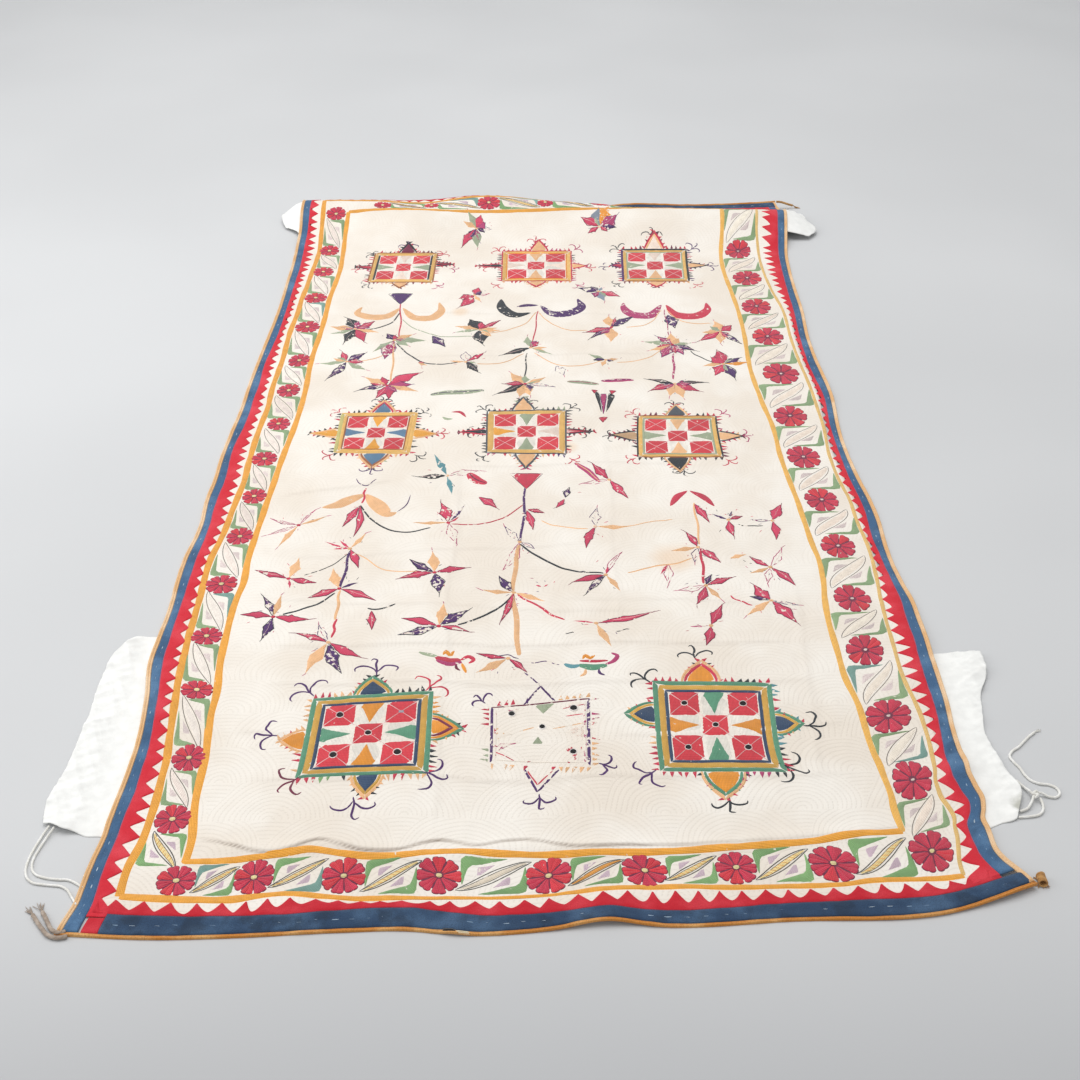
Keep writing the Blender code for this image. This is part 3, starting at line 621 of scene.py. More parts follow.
OUTER_LINES = {
    "left": places("-604 1139, -603 1093, -603 1012, -599 916, -605 794, -610 679, -614 623,"
                   "-613 570, -615 467, -608 320, -608 184, -605 97, -606 35, -604 -101, -604 -240,"
                   "-611 -320, -613 -375, -616 -445, -615 -517, -615 -565, -613 -666, -610 -729,"
                   "-615 -805, -615 -876, -613 -921, -609 -958, -607 -1008, -604 -1048,"
                   "-603 -1085, -604 -1128, -609 -1190, -607 -1230"),
    "near": places("-607 -1230, -553 -1231, -495 -1234, -450 -1235, -411 -1230, -383 -1228,"
                   "-325 -1236, -281 -1243, -239 -1244, -182 -1243, -125 -1237, -68 -1237,"
                   "0 -1239, 72 -1239, 128 -1233, 183 -1229, 265 -1236, 348 -1239, 403 -1237,"
                   "461 -1230, 518 -1235, 576 -1246, 589 -1248"),
    "right": places("589 -1248, 604 -1200, 614 -1144, 604 -1098, 605 -1056, 613 -1012,"
                    "618 -966, 616 -917, 610 -865, 603 -812, 601 -733, 602 -646, 607 -583,"
                    "619 -523, 627 -459, 628 -412, 620 -327, 622 -257, 620 -186, 622 -101, 630 5,"
                    "622 128, 621 245, 621 310, 620 427, 615 561, 601 673, 591 787, 586 908,"
                    "581 974, 583 1060, 587 1139"),
    "far": places("587 1139, 300 1136, 0 1141, -300 1137, -605 1139"),
}
OUTER_RIGHT_WIDE = 0.0070


def start_work():
    return {"points": [], "height": [], "faces": [], "coords": [], "colors": [], "count": 0}


def smooth_line(points, step):
    """Places about a step apart on one smooth curve through the points."""
    line = np.array(points, float)
    lengths = np.linalg.norm(np.diff(line, axis=0), axis=1)
    run = np.concatenate([[0.0], np.cumsum(lengths)])
    at = np.linspace(0.0, run[-1], max(3, math.ceil(run[-1] / step) + 1))
    if len(line) == 2:
        return line[0] + (line[1] - line[0]) * (at / run[-1])[:, None]
    return np.stack([smooth_through(run, column, at) for column in line.T], axis=1)


def add_band(work, side_a, side_b, thread, height=0.0009, across=4, wear=0.0, base=0.0):
    """A pillowed band of thread between two lines that have the same number of points."""
    side_a, side_b = np.asarray(side_a, float), np.asarray(side_b, float)
    share = np.linspace(0.0, 1.0, across + 1)
    points = side_a[:, None] + (side_b - side_a)[:, None] * share[None, :, None]
    wide = np.hypot(*(side_b - side_a).T)
    crown = np.sin(np.pi * np.clip(share, 0, 1)) ** 0.45
    crown[[0, -1]] = 0.0
    stand = height * np.clip(wide / 0.0016, 0.25, 1.0)
    lift = -EDGE_SUNK + (base + EDGE_SUNK + stand)[:, None] * crown[None, :]
    lift[[0, -1]] = np.minimum(lift[[0, -1]], 0.0)
    middle = (side_a + side_b) / 2
    run = np.concatenate([[0.0], np.cumsum(np.hypot(*np.diff(middle, axis=0).T))])
    aside = (share[None, :] - 0.5) * wide[:, None]
    coords = np.stack([np.broadcast_to(run[:, None], aside.shape), aside], -1)
    coords = coords + chance.uniform(0.0, 4.0, 2)[None, None, :]
    rows, columns = aside.shape
    cross = np.cross(np.gradient(middle, axis=0), side_b - side_a).sum()
    quads = np.array(sheet_faces(rows, columns)) + work["count"]
    work["faces"] += (quads[:, ::-1] if cross > 0 else quads).tolist()
    shade = np.array(linear(THREADS.get(thread, thread))) * chance.uniform(0.88, 1.08)
    color = np.append(np.clip(shade, 0, 1), wear)
    work["points"].append(points.reshape(-1, 2))
    work["height"].append(lift.ravel())
    work["coords"].append(coords.reshape(-1, 2))
    work["colors"].append(np.broadcast_to(color, (rows * columns, 4)))
    work["count"] += rows * columns


def add_stroke(work, line, wide, thread, height=0.0008, across=2, wear=0.0, base=0.0):
    """A band along a line. wide is one width, or a width for each point."""
    line = np.asarray(line, float)
    along = np.gradient(line, axis=0)
    along = along / np.maximum(np.hypot(*along.T), 1e-9)[:, None]
    aside = np.stack([-along[:, 1], along[:, 0]], -1)
    half = np.broadcast_to(np.asarray(wide, float) * 0.58, len(line))[:, None]
    add_band(work, line - aside * half, line + aside * half, thread, height, across, wear, base)


def chain_stitch_material():
    """Cotton chain stitch: rows of small linked loops, soft sheen, worn away in spots."""
    material, shader = cotton_material("cotton_chain_stitch", 0.72, 0.25)
    calc = partial(math_node, material)
    place = cloth_place(material)
    split = add_node(material, "ShaderNodeSeparateXYZ", i0=place)
    along, across = split.outputs[0], split.outputs[1]
    off_middle = calc("PINGPONG", across, ROW_WIDE / 2)
    off_share = calc("DIVIDE", off_middle, ROW_WIDE / 2)
    slant = calc("MULTIPLY_ADD", off_share, LINK_LONG * 0.5, along)
    wave = calc("MULTIPLY", slant, 2 * math.pi / LINK_LONG)
    loop = calc("MULTIPLY_ADD", calc("SINE", wave), 0.5, 0.5)
    ridge = smooth_range(material, off_share, 1.0, 0.25)
    height = calc("MULTIPLY", calc("MULTIPLY_ADD", loop, 0.5, 0.5), ridge)
    thread = add_node(material, "ShaderNodeVertexColor", {"layer_name": "thread"})
    blotch = noise(material, place, 150.0, 3.0)
    broad = noise(material, place, 62.0, 2.0)
    spots = calc("MULTIPLY_ADD", broad, 0.9, blotch)
    kept = calc("MULTIPLY_ADD", thread.outputs[1], -0.70, 1.33)
    above = calc("SUBTRACT", spots, kept)
    bare = smooth_range(material, above, -0.02, 0.03)
    # Painted shade: each row is darker between its loops and lighter on their tops.
    shade = calc("MULTIPLY_ADD", height, 0.34, 0.83)
    fleck = calc("MULTIPLY_ADD", broad, 0.4, 0.82)
    shade = calc("MULTIPLY", shade, fleck)
    lit = add_node(
        material, "ShaderNodeVectorMath", {"operation": "SCALE"}, i0=thread.outputs[0], Scale=shade
    ).outputs[0]
    color = mix_color(material, bare, lit, COTTON_DULL)
    link(material, color, shader, "Base Color")
    relief = calc("MULTIPLY", height, calc("SUBTRACT", 1.0, bare))
    add_bump(material, shader, relief, 0.0009, 0.9)
    return material


chain_stitch = chain_stitch_material()


def sew(name, work):
    """Lays what was worked flat onto the cloth where it lies, as one joined mesh."""
    points = np.concatenate(work["points"])
    height = GROUND_THICK + np.concatenate(work["height"])
    places = on_cloth(points[:, 0], points[:, 1], height)
    piece = mesh_object(name, places, work["faces"], np.concatenate(work["coords"]))
    layer = piece.data.color_attributes.new("thread", "FLOAT_COLOR", "POINT")
    layer.data.foreach_set("color", np.concatenate(work["colors"]).ravel())
    piece.data.materials.append(chain_stitch)
    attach(piece, "root")
    return piece


yellow_work = start_work()
for lines in (INNER_LINES, OUTER_LINES):
    for side, points in lines.items():
        wide = OUTER_RIGHT_WIDE if (lines is OUTER_LINES and side == "right") else YELLOW_WIDE
        line = smooth_line(points, 0.005)
        uneven = wide * (1 + 0.08 * np.sin(np.arange(len(line)) * 0.31 + len(side)))
        if lines is INNER_LINES:
            uneven = uneven * (0.86 if side in ("near", "right") else 1.0)
        if lines is OUTER_LINES and side == "near":
            thin = soft_step(-0.24, -0.14, line[:, 0]) * (1 - soft_step(0.01, 0.06, line[:, 0]))
            uneven = uneven * (1 - 0.28 * soft_step(-0.46, -0.38, line[:, 0])) * (1 - 0.35 * thin)
        thread = "yellow"
        if side == "right":
            thread = "gold" if lines is OUTER_LINES else "amber"
        add_stroke(yellow_work, line, uneven, thread, height=0.0010, across=6, wear=0.06)
sew("yellow_lines", yellow_work)

# ------------------------------------------------------------------ the red sawtooth strips
# Four strips of red cotton sewn over the edge of the ground. Their inner edge is cut and
# turned in, so that the cream ground shows between as leaf-shaped teeth, about 32 mm apart.

BLUE_ENDS = {
    # how far in from the cloth's edge the blue stops and the red starts: u or v, inset
    "near": places("-667 38.5, -550 38.5, -460 36, -350 35, -260 38.5, -150 37, -67 32, 0 29.5,"
                   "100 26.5, 170 28, 300 30, 370 31.5, 450 35.5, 530 32, 600 29, 667 26"),
    "far": places("-667 33, 0 33, 300 33, 667 33"),
    "left": places("-1300 30, -1183 25, -1137 24, -1091 24.5, -1042 26.5, -992 24.5, -940 24,"
                   "-886 22, -832 22, -741 25, -677 23.5, -612 21, -540 23, -470 25, -397 23,"
                   "-319 20.5, -235 24, -149 24, -58 21, 39 25.5, 140 23.5, 193 25.5, 302 21,"
                   "417 24.5, 601 22.5, 736 25, 945 24, 1100 26, 1205 27"),
    "right": places("-1300 32, -1227 31, -1176 34, -1129 26, -1075 30, -1021 32, -962 26,"
                    "-903 25, -841 27, -778 27, -714 25.5, -640 26, -563 22, -446 21, -366 26,"
                    "-286 23.5, -202 23, -157 22, -66 20, 30 21.5, 126 21.5, 235 26, 405 23.5,"
                    "593 24.5, 800 23, 969 25.5, 1205 26"),
}
RED_SOLID = {
    # u or v, then the share of the red that is unbroken, beside the blue, in thousandths
    "near": places("-620 220, -400 300, -340 620, -240 600, -100 420, 100 360, 600 340"),
    "far": places("-667 400, 667 400"),
    "left": places("-1300 250, -1085 380, -960 400, -860 300, -720 440, -450 480, -100 500,"
                   "100 520, 320 420, 680 280, 900 120, 1205 80"),
    "right": places("-1300 200, -1110 250, -1000 300, -850 190, -770 160, -700 370, -620 600,"
                    "-520 450, -250 300, 125 400, 420 400, 670 380, 908 380, 1205 340"),
}
RED_SHORT = {
    # v, then how far short of the yellow line the teeth stop
    "left": places("-1300 0, -320 0, -100 4, 200 6, 1205 8"),
    "right": places("-1300 0, -320 0, 0 3, 300 7, 700 9, 1205 11"),
}
# where a tooth's gap is deepest, as a share of its length, and how its sides curve
TOOTH_LEAN = {"near": (0.36, 0.64), "far": (0.4, 0.6), "left": (0.38, 0.62), "right": (0.20, 0.48)}
TOOTH_BEND = {"near": (1.0, 1.9), "far": (1.0, 1.6), "left": (0.8, 1.15), "right": (1.0, 1.5)}
TOOTH_PITCH = 0.0320
NEAR_TEETH = [-0.634, -0.610, -0.571, -0.534, -0.498, -0.462, -0.428, -0.399, -0.367, -0.330,
              -0.2975, -0.265, -0.238, -0.207, -0.167, -0.139, -0.103, -0.068, -0.033, 0.002,
              0.042, 0.076, 0.110, 0.144, 0.1755, 0.207, 0.236, 0.266, 0.299, 0.3295, 0.3605,
              0.3925, 0.427, 0.460, 0.493, 0.527, 0.562, 0.591, 0.625]  # the red points
RED_STEP = 0.0021
RED_BASE = 0.0006
RED_LIFT = 0.0009  # above the ground
RED_FRESH = "#C41E2E"
RED_FADED = "#D23A46"
SIDE_RED_FRESH = "#D22636"
SIDE_RED_FADED = "#DE4350"
chance = np.random.default_rng(7)


def edge_point(side, along, inset):
    """Flat place at this distance from a side of the cloth, and along it."""
    if side == "near":
        return along, NEAR_EDGE + inset
    if side == "far":
        return along, FAR_EDGE - inset
    if side == "left":
        return -HALF_WIDTH + inset, along
    return HALF_WIDTH - inset, along


def tooth_reach(side, along, first, last):
    """Share of the red's full width at each place, for a row of uneven teeth."""
    count = max(1, round((last - first) / TOOTH_PITCH))
    uneven = chance.uniform(-0.13, 0.13, count + 1)
    uneven[0] = uneven[-1] = 0.0
    edges = first + (np.arange(count + 1) + uneven) * (last - first) / count
    if side == "near":
        edges = np.array(NEAR_TEETH)
        first, last, count = edges[0], edges[-1], len(edges) - 1
    tooth = np.clip(np.searchsorted(edges, along, side="right") - 1, 0, count - 1)
    share = (along - edges[tooth]) / (edges[tooth + 1] - edges[tooth])
    lean = chance.uniform(*TOOTH_LEAN[side], count)[tooth]
    bend = chance.uniform(*TOOTH_BEND[side], count)[tooth]
    depth = chance.uniform(0.84, 1.04, count)[tooth]
    from_tip = np.where(share < lean, (lean - share) / lean, (share - lean) / (1 - lean))
    reach = 1 - depth * (1 - np.clip(from_tip, 0, 1) ** bend)
    return np.where((along < first) | (along > last), 1.0, np.clip(reach, 0, 1))


def closed_sheet(name, top, bottom, coords):
    """A sheet with a top, a bottom and a rim. top and bottom are rows by columns."""
    rows, columns = top.shape[:2]
    count = rows * columns
    faces = sheet_faces(rows, columns)
    faces += [[count + k for k in quad[::-1]] for quad in sheet_faces(rows, columns)]
    at = np.arange(count).reshape(rows, columns)
    rim = np.concatenate([at[0], at[1:, -1], at[-1, -2::-1], at[-2:0:-1, 0]])
    rim = np.append(rim, rim[0]).tolist()
    faces += [[a, a + count, b + count, b] for a, b in zip(rim[:-1], rim[1:])]
    points = np.concatenate([top.reshape(-1, 3), bottom.reshape(-1, 3)])
    return mesh_object(name, points, faces, np.concatenate([coords.reshape(-1, 2)] * 2))


SIDES = ("near", "far", "left", "right")


def edge_line(side, along, inset):
    return np.stack(np.broadcast_arrays(*edge_point(side, along, inset)), -1)


def edge_sheet(name, side, u, v, top, bottom):
    """A closed sheet along one side, its rows in the order that turns its top up."""
    order = slice(None, None, -1) if side in ("near", "right") else slice(None)
    return closed_sheet(name, top[order], bottom[order], np.stack([u, v], -1)[order])


def blue_end(side, along):
    return read_table(BLUE_ENDS[side], 1, along)


def line_at(points, at, axis):
    """Where a yellow line crosses a place along the border."""
    table = sorted((row[axis], row[1 - axis]) for row in points)
    return np.interp(at, *zip(*table))


def red_end(side, along):
    """The red stops at the outer side of the outer yellow line."""
    line = line_at(OUTER_LINES[side], along, 0 if side in ("near", "far") else 1)
    insets = {"near": -NEAR_EDGE, "far": FAR_EDGE, "left": HALF_WIDTH, "right": HALF_WIDTH}
    inset = insets[side] + line * (1 if side in ("near", "left") else -1)
    half = OUTER_RIGHT_WIDE / 2 if side == "right" else YELLOW_WIDE / 2
    short = read_table(RED_SHORT[side], 1, along) if side in RED_SHORT else 0.0
    return inset - half + 0.0008 - short


def make_red_strip(side):
    if side in ("left", "right"):
        start, end = NEAR_EDGE + 0.0331, FAR_EDGE - 0.0331
        first_tooth, last_tooth = NEAR_EDGE + 0.047, FAR_EDGE - 0.060
    else:
        start, end = -HALF_WIDTH + GROUND_INSET, HALF_WIDTH - GROUND_INSET
        first_tooth, last_tooth = -HALF_WIDTH + 0.042, HALF_WIDTH - 0.042
    along = np.linspace(start, end, round((end - start) / RED_STEP))
    outer = blue_end(side, along)
    full = np.maximum(red_end(side, along) - outer, 0.006)
    solid = read_table(RED_SOLID[side], 1, along)
    reach = full * (solid + (1 - solid) * tooth_reach(side, along, first_tooth, last_tooth))
    shares = np.array([0.0, 0.04, 0.35, 0.7, 0.96, 1.0])
    inset = (outer + 0.0002)[:, None] + reach[:, None] * shares[None, :]
    place = np.broadcast_to(along[:, None], inset.shape)
    u, v = np.broadcast_arrays(*edge_point(side, place, inset))
    turned = np.array([0.0, 1.0, 0.9, 0.9, 1.1, 0.2])  # a little thicker at the turned hem
    top = on_cloth(u, v, GROUND_THICK + RED_LIFT * turned)
    bottom = on_cloth(u, v, GROUND_THICK - RED_BASE)
    return edge_sheet(f"red_sawtooth_{side}", side, u, v, top, bottom)


def dyed_cotton_material(name, fresh, faded, dark, weave_wide, folds, grimy=0.0):
    """Dyed plain-woven cotton: matt, with threads, worn pale patches and soft crumple."""
    material, shader = cotton_material(name, 0.88, 0.10)
    calc = partial(math_node, material)
    place = cloth_place(material)
    split = add_node(material, "ShaderNodeSeparateXYZ", i0=place)
    turns = 2 * math.pi / weave_wide
    warp = calc("MULTIPLY", split.outputs[0], turns)
    weft = calc("MULTIPLY", split.outputs[1], turns)
    warp = calc("SINE", warp)
    weft = calc("SINE", weft)
    weave = calc("MULTIPLY", warp, weft)
    soft = noise(material, place, folds, 4.0)
    slub = noise(material, place, 600.0, 2.0)
    height = calc("MULTIPLY_ADD", weave, 0.00004, 0.0)
    height = calc("MULTIPLY_ADD", slub, 0.0002, height)
    height = calc("MULTIPLY_ADD", soft, 0.0020, height)
    add_bump(material, shader, height, 1.0, 0.8)
    patch = noise(material, place, 16.0, 6.0)
    color = blend_colors(material, patch, fresh, faded, 0.42, 0.68)
    thread = smooth_range(material, slub, 0.58, 0.30)
    color = mix_color(material, calc("MULTIPLY", thread, 0.45), color, dark)
    spots = noise(material, place, 27.0, 5.0)
    grime = smooth_range(material, spots, 0.50, 0.66)
    color = mix_color(material, calc("MULTIPLY", grime, grimy), color, dark)
    link(material, color, shader, "Base Color")
    return material


red_cotton = dyed_cotton_material("turkey_red_cotton", RED_FRESH, RED_FADED, "#A51526", 0.0016, 60)
side_red_cotton = dyed_cotton_material(
    "worn_turkey_red_cotton", SIDE_RED_FRESH, SIDE_RED_FADED, "#B0202F", 0.0016, 60
)
for side in SIDES:
    strip = make_red_strip(side)
    strip.data.materials.append(red_cotton if side in ("near", "far") else side_red_cotton)
    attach(strip, "root")
    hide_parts(f"red_strip_{side}")
    long_side = 2.438 if side in ("left", "right") else 1.268
    flat = (long_side, 0.028) if side in ("near", "far") else (0.028, long_side)

# ------------------------------------------------------------------ the blue binding
# Strips of indigo cotton folded over the raw edge, held by one row of coarse pale running
# stitches. The left one runs down to the near edge, and the red shows in the gap beside it.

BLUE_OUTER = 0.0060
BLUE_INNER = 0.0329
BLUE_FULL = 0.0032
BLUE_ROWS = 9
BLUE_STEP = 0.0045
BLUE_WIDE = 0.027
SIDE_BLUE_WIDE = 0.020
INDIGO = "#2B4462"
INDIGO_FADED = "#456180"
INDIGO_DARK = "#18222E"
SIDE_INDIGO = "#42668B"
SIDE_INDIGO_FADED = "#5B80A5"
SIDE_INDIGO_DARK = "#2B4059"
NEAR_BLUE_FROM = -0.612  # the near strip starts here, past the red corner


def strip_run(side):
    """The start and end of each side's blue strip."""
    if side == "near":
        return NEAR_BLUE_FROM, HALF_WIDTH - BLUE_OUTER
    if side == "far":
        return -HALF_WIDTH + BLUE_OUTER, HALF_WIDTH - BLUE_OUTER
    low = NEAR_EDGE + (BLUE_OUTER if side == "left" else BLUE_INNER + 0.0004)
    return low, FAR_EDGE - BLUE_INNER - 0.0004


def make_edge_strip(name, side, run, outer, inner, rows, step, top_height):
    """A closed strip beside one edge. top_height gives its height from place and share, and
    inner may be a function of the place."""
    along = np.linspace(*run, round((run[1] - run[0]) / step))
    share = np.linspace(0.0, 1.0, rows)
    place, across = np.meshgrid(along, share, indexing="ij")
    stop = inner(place[:, 0])[:, None] if callable(inner) else inner
    u, v = np.broadcast_arrays(*edge_point(side, place, outer + (stop - outer) * across))
    top = on_cloth(u, v, top_height(place, across))
    bottom = on_cloth(u, v, 0.0, crumpled=False)
    return edge_sheet(name, side, u, v, top, bottom)


def blue_height(place, across):
    """Rounded at both edges, pulled down along the row of stitches, with small puckers."""
    fall = np.where(across > 0.5, 0.10, 0.38)  # the inner edge stays above the ground
    rounded = 1 - fall * np.abs(2 * across - 1) ** 5
    seam = np.exp(-(((across - 0.46) / 0.10) ** 2))
    pull = seam * (0.55 + 0.45 * np.cos(place * 2 * math.pi / 0.027))
    pucker = np.sin(place * 260 + 5 * np.sin(place * 31)) * np.sin(across * math.pi)
    return BLUE_FULL * rounded - 0.0007 * pull + 0.00018 * pucker


indigo_cotton = dyed_cotton_material(
    "indigo_dyed_cotton", INDIGO, INDIGO_FADED, INDIGO_DARK, 0.0017, 42, grimy=0.45
)
side_indigo_cotton = dyed_cotton_material(
    "faded_indigo_cotton", SIDE_INDIGO, SIDE_INDIGO_FADED, SIDE_INDIGO_DARK, 0.0017, 42, grimy=0.35
)
for side in SIDES:
    run = strip_run(side)
    outer = BLUE_OUTER + (0.0024 if side in ("left", "right") else 0.0002)
    strip = make_edge_strip(
        f"indigo_binding_{side}", side, run, outer, lambda along: blue_end(side, along),
        BLUE_ROWS, BLUE_STEP, blue_height,
    )
    strip.data.materials.append(indigo_cotton if side in ("near", "far") else side_indigo_cotton)
    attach(strip, "root")
    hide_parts(f"blue_binding_{side}")
    length = run[1] - run[0]
    flat = (length, BLUE_WIDE) if side in ("near", "far") else (SIDE_BLUE_WIDE, length)

# The red cotton of the corner runs down between the two blue strips.
corner_run = (-HALF_WIDTH + BLUE_INNER + 0.0003, NEAR_BLUE_FROM - 0.0003)


def corner_height(place, across):
    return 0.0028 - 0.0008 * np.abs(2 * across - 1) ** 4


corner_patch = make_edge_strip(
    "red_corner_patch", "near", corner_run, BLUE_OUTER + 0.0004, BLUE_INNER,
    BLUE_ROWS, 0.0022, corner_height,
)
corner_patch.data.materials.append(red_cotton)
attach(corner_patch, "root")

# ------------------------------------------------------------------ the piping
# A tan cotton piping round the whole edge: a corded roll with a flat fold beside it, so it
# shows as two thin lines with a dark groove between.

PIPING_WIDE = 0.0060
PIPING_ROWS = 15
TAN = "#D08A3E"
TAN_FADED = "#E3B06F"
TAN_DARK = "#8A4F1E"


def piping_height(place, across):
    """Two rolls: the outer one is the cord, the inner one is the fold of its flange."""
    cord = np.sqrt(np.clip(1 - ((across - 0.30) / 0.31) ** 2, 0, 1))
    fold = np.sqrt(np.clip(1 - ((across - 0.80) / 0.20) ** 2, 0, 1))
    uneven = 1 + 0.05 * np.sin(place * 140) + 0.04 * np.sin(place * 57 + 1)
    return 0.0010 + 0.0031 * cord * uneven + 0.0021 * fold


tan_cotton = dyed_cotton_material("tan_cotton_piping", TAN, TAN_FADED, TAN_DARK, 0.0014, 90)
pale_tan_cotton = dyed_cotton_material(
    "worn_tan_cotton_piping", "#E3B682", "#F0D2AE", "#C08F5C", 0.0014, 90
)
for side in SIDES:
    if side in ("near", "far"):
        run = (-HALF_WIDTH, HALF_WIDTH)
    else:
        run = (NEAR_EDGE + PIPING_WIDE + 0.0003, FAR_EDGE - PIPING_WIDE - 0.0003)
    wide = PIPING_WIDE + (0.0022 if side in ("left", "right") else -0.0002)
    strip = make_edge_strip(
        f"tan_piping_{side}", side, run, 0.0, wide, PIPING_ROWS, 0.0060, piping_height
    )
    strip.data.materials.append(tan_cotton if side in ("near", "far") else pale_tan_cotton)
    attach(strip, "root")
    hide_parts(f"piping_{side}")

# ------------------------------------------------------------------ the flowered border
# Round crimson flowers in close chain stitch, each petal outlined dark, and in every cell
# between two of them a slanted leaf and two green corners. The motifs change with each cell.

ROSETTES = {
    # u, v, half its size across the cloth and along it; one of no size only ends its row
    "left": places("-566 1078 27 26, -571 911 28 27, -575 783 28 26, -579 635 28 27, -577 482 29 29,"
                   "-568 318 26 30, -569 181 26 29, -568 37 25 26, -574 -101 26 27, -572 -238 24 26,"
                   "-578 -372 26 27, -582 -518 29 28, -582 -666 26 23, -582 -803 26 23,"
                   "-574 -959 26 29, -570 -1086 27 29, -536 -1200 28 26"),
    "near": places("-536 -1200 28 26, -425 -1198 29 30, -295 -1203 32 32, -157 -1201 33 31,"
                   "2 -1205 33 31, 137 -1203 33 27, 266 -1201 30 29, 404 -1199 35 34,"
                   "557 -1191 38 39"),
    "right": places("557 -1191 38 39, 565 -1045 35 43, 562 -896 38 41, 547 -725 34 41,"
                    "554 -578 34 42, 568 -411 34 40, 564 -257 34 40, 561 -100 37 43, 557 63 38 43,"
                    "565 247 41 48, 562 425 39 43, 550 582 38 42, 543 741 38 42, 530 901 34 43,"
                    "528 1075 0 12"),
    "far": places("300 1106 24 16, 170 1107 27 17, 22 1103 22 17, -137 1108 33 26, -300 1112 21 15,"
                  "-439 1112 25 16"),
}


def turn_by(points, angle):
    cosine, sine = math.cos(angle), math.sin(angle)
    points = np.asarray(points, float)
    turned = [points[..., 0] * cosine - points[..., 1] * sine]
    turned.append(points[..., 0] * sine + points[..., 1] * cosine)
    return np.stack(turned, -1)


def add_disc(work, center, radius, thread, height=0.0009, wear=0.0, base=0.0, squash=1.0):
    """A filled round of thread, worked as one band from side to side."""
    t = np.linspace(-1, 1, 9)
    half = np.sqrt(np.clip(1 - t * t, 0.0004, 1))
    side_a = np.stack([t * radius, half * radius * squash], -1) + center
    side_b = np.stack([t * radius, -half * radius * squash], -1) + center
    add_band(work, side_a, side_b, thread, height, 4, wear, base)


PETALS = 8


def add_rosette(work, place, wide, long):
    """Eight petals with a small notch in each tip, so each is worked as two lobes. The wine
    line round them is a slightly larger and lower copy of the lobes."""
    count = PETALS
    first = chance.uniform(0, 2 * math.pi)
    center = np.array(place)
    stretch = np.array([wide, long])
    cap = math.sin(math.pi / (2 * count)) * 1.35
    out = 0.12 + 0.88 * np.sin(np.linspace(0.0, math.pi / 2, 9)) ** 0.9
    dome = np.sqrt(np.clip(cap**2 - (out - (1 - cap)) ** 2, 0, 1))
    half = np.where(out > 1 - cap, np.minimum(out * 0.232, dome), out * 0.232)
    add_disc(work, center, wide * 0.90, "wine", 0.0005, squash=long / wide)
    for petal in range(count):
        size = chance.uniform(0.95, 1.04)
        thread = "crimson" if chance.random() < 0.75 else "red"
        for sign in (-0.190, 0.190):
            angle = first + 2 * math.pi * (petal + sign) / count
            for color, grown, height, base in (
                ("wine", 0.030, 0.0006, 0.0),
                (thread, 0.0, 0.0009, 0.0005),
            ):
                length = out * (size + grown)
                sides = [
                    turn_by(np.stack([length, way * (half * size + grown)], -1), angle)
                    for way in (1, -1)
                ]
                one, two = (side * stretch + center for side in sides)
                add_band(work, one, two, color, height, 3, 0.06, base)


def add_eye(work, place, side):
    radius, eye = (0.0038, "#EFD9CF") if side == "right" else (0.0050, "#F4E2A6")
    add_disc(work, np.array(place), radius * 1.35, "wine", height=0.0012)
    add_disc(work, np.array(place), radius, eye, height=0.0022)


flower_work = start_work()
done = []  # a corner flower stands in the rows of two sides
for side, rows in ROSETTES.items():
    for u, v, wide, long in rows:
        if (u, v) in done or wide == 0:
            continue
        done.append((u, v))
        add_rosette(flower_work, (u, v), wide, long)
        add_eye(flower_work, (u, v), side)
sew("border_flowers", flower_work)


def square_place(corners, s, t):
    """The place in a four-sided cell: s runs from its first corner to its second, and t from
    that side to the one across. In a medallion's square they are left to right and down."""
    top_left, top_right, low_right, low_left = np.array(corners, float)
    s, t = np.asarray(s, float)[..., None], np.asarray(t, float)[..., None]
    upper = top_left * (1 - s) + top_right * s
    lower = low_left * (1 - s) + low_right * s
    return upper * (1 - t) + lower * t


def border_cell(side, first, second):
    """The corners of the cell between two flowers: beside the outer yellow line from the
    first flower to the second, then back beside the inner one."""
    axis = 0 if side in ("near", "far") else 1
    reach = (first[2] if axis == 0 else first[3], second[2] if axis == 0 else second[3])
    direction = 1 if second[axis] > first[axis] else -1
    starts = (first[axis] + direction * reach[0], second[axis] - direction * reach[1])
    ends = []
    for at in starts:
        outer = line_at(OUTER_LINES[side], at, axis)
        inner = line_at(INNER_LINES[side], at, axis)
        margin = 0.009 * (1 if inner > outer else -1)
        ends.append([(at, outer + margin), (at, inner - margin)])
    cell = np.array([ends[0][0], ends[1][0], ends[1][1], ends[0][1]])
    return cell if axis == 0 else cell[:, ::-1]


CORNER_POINTS = 14


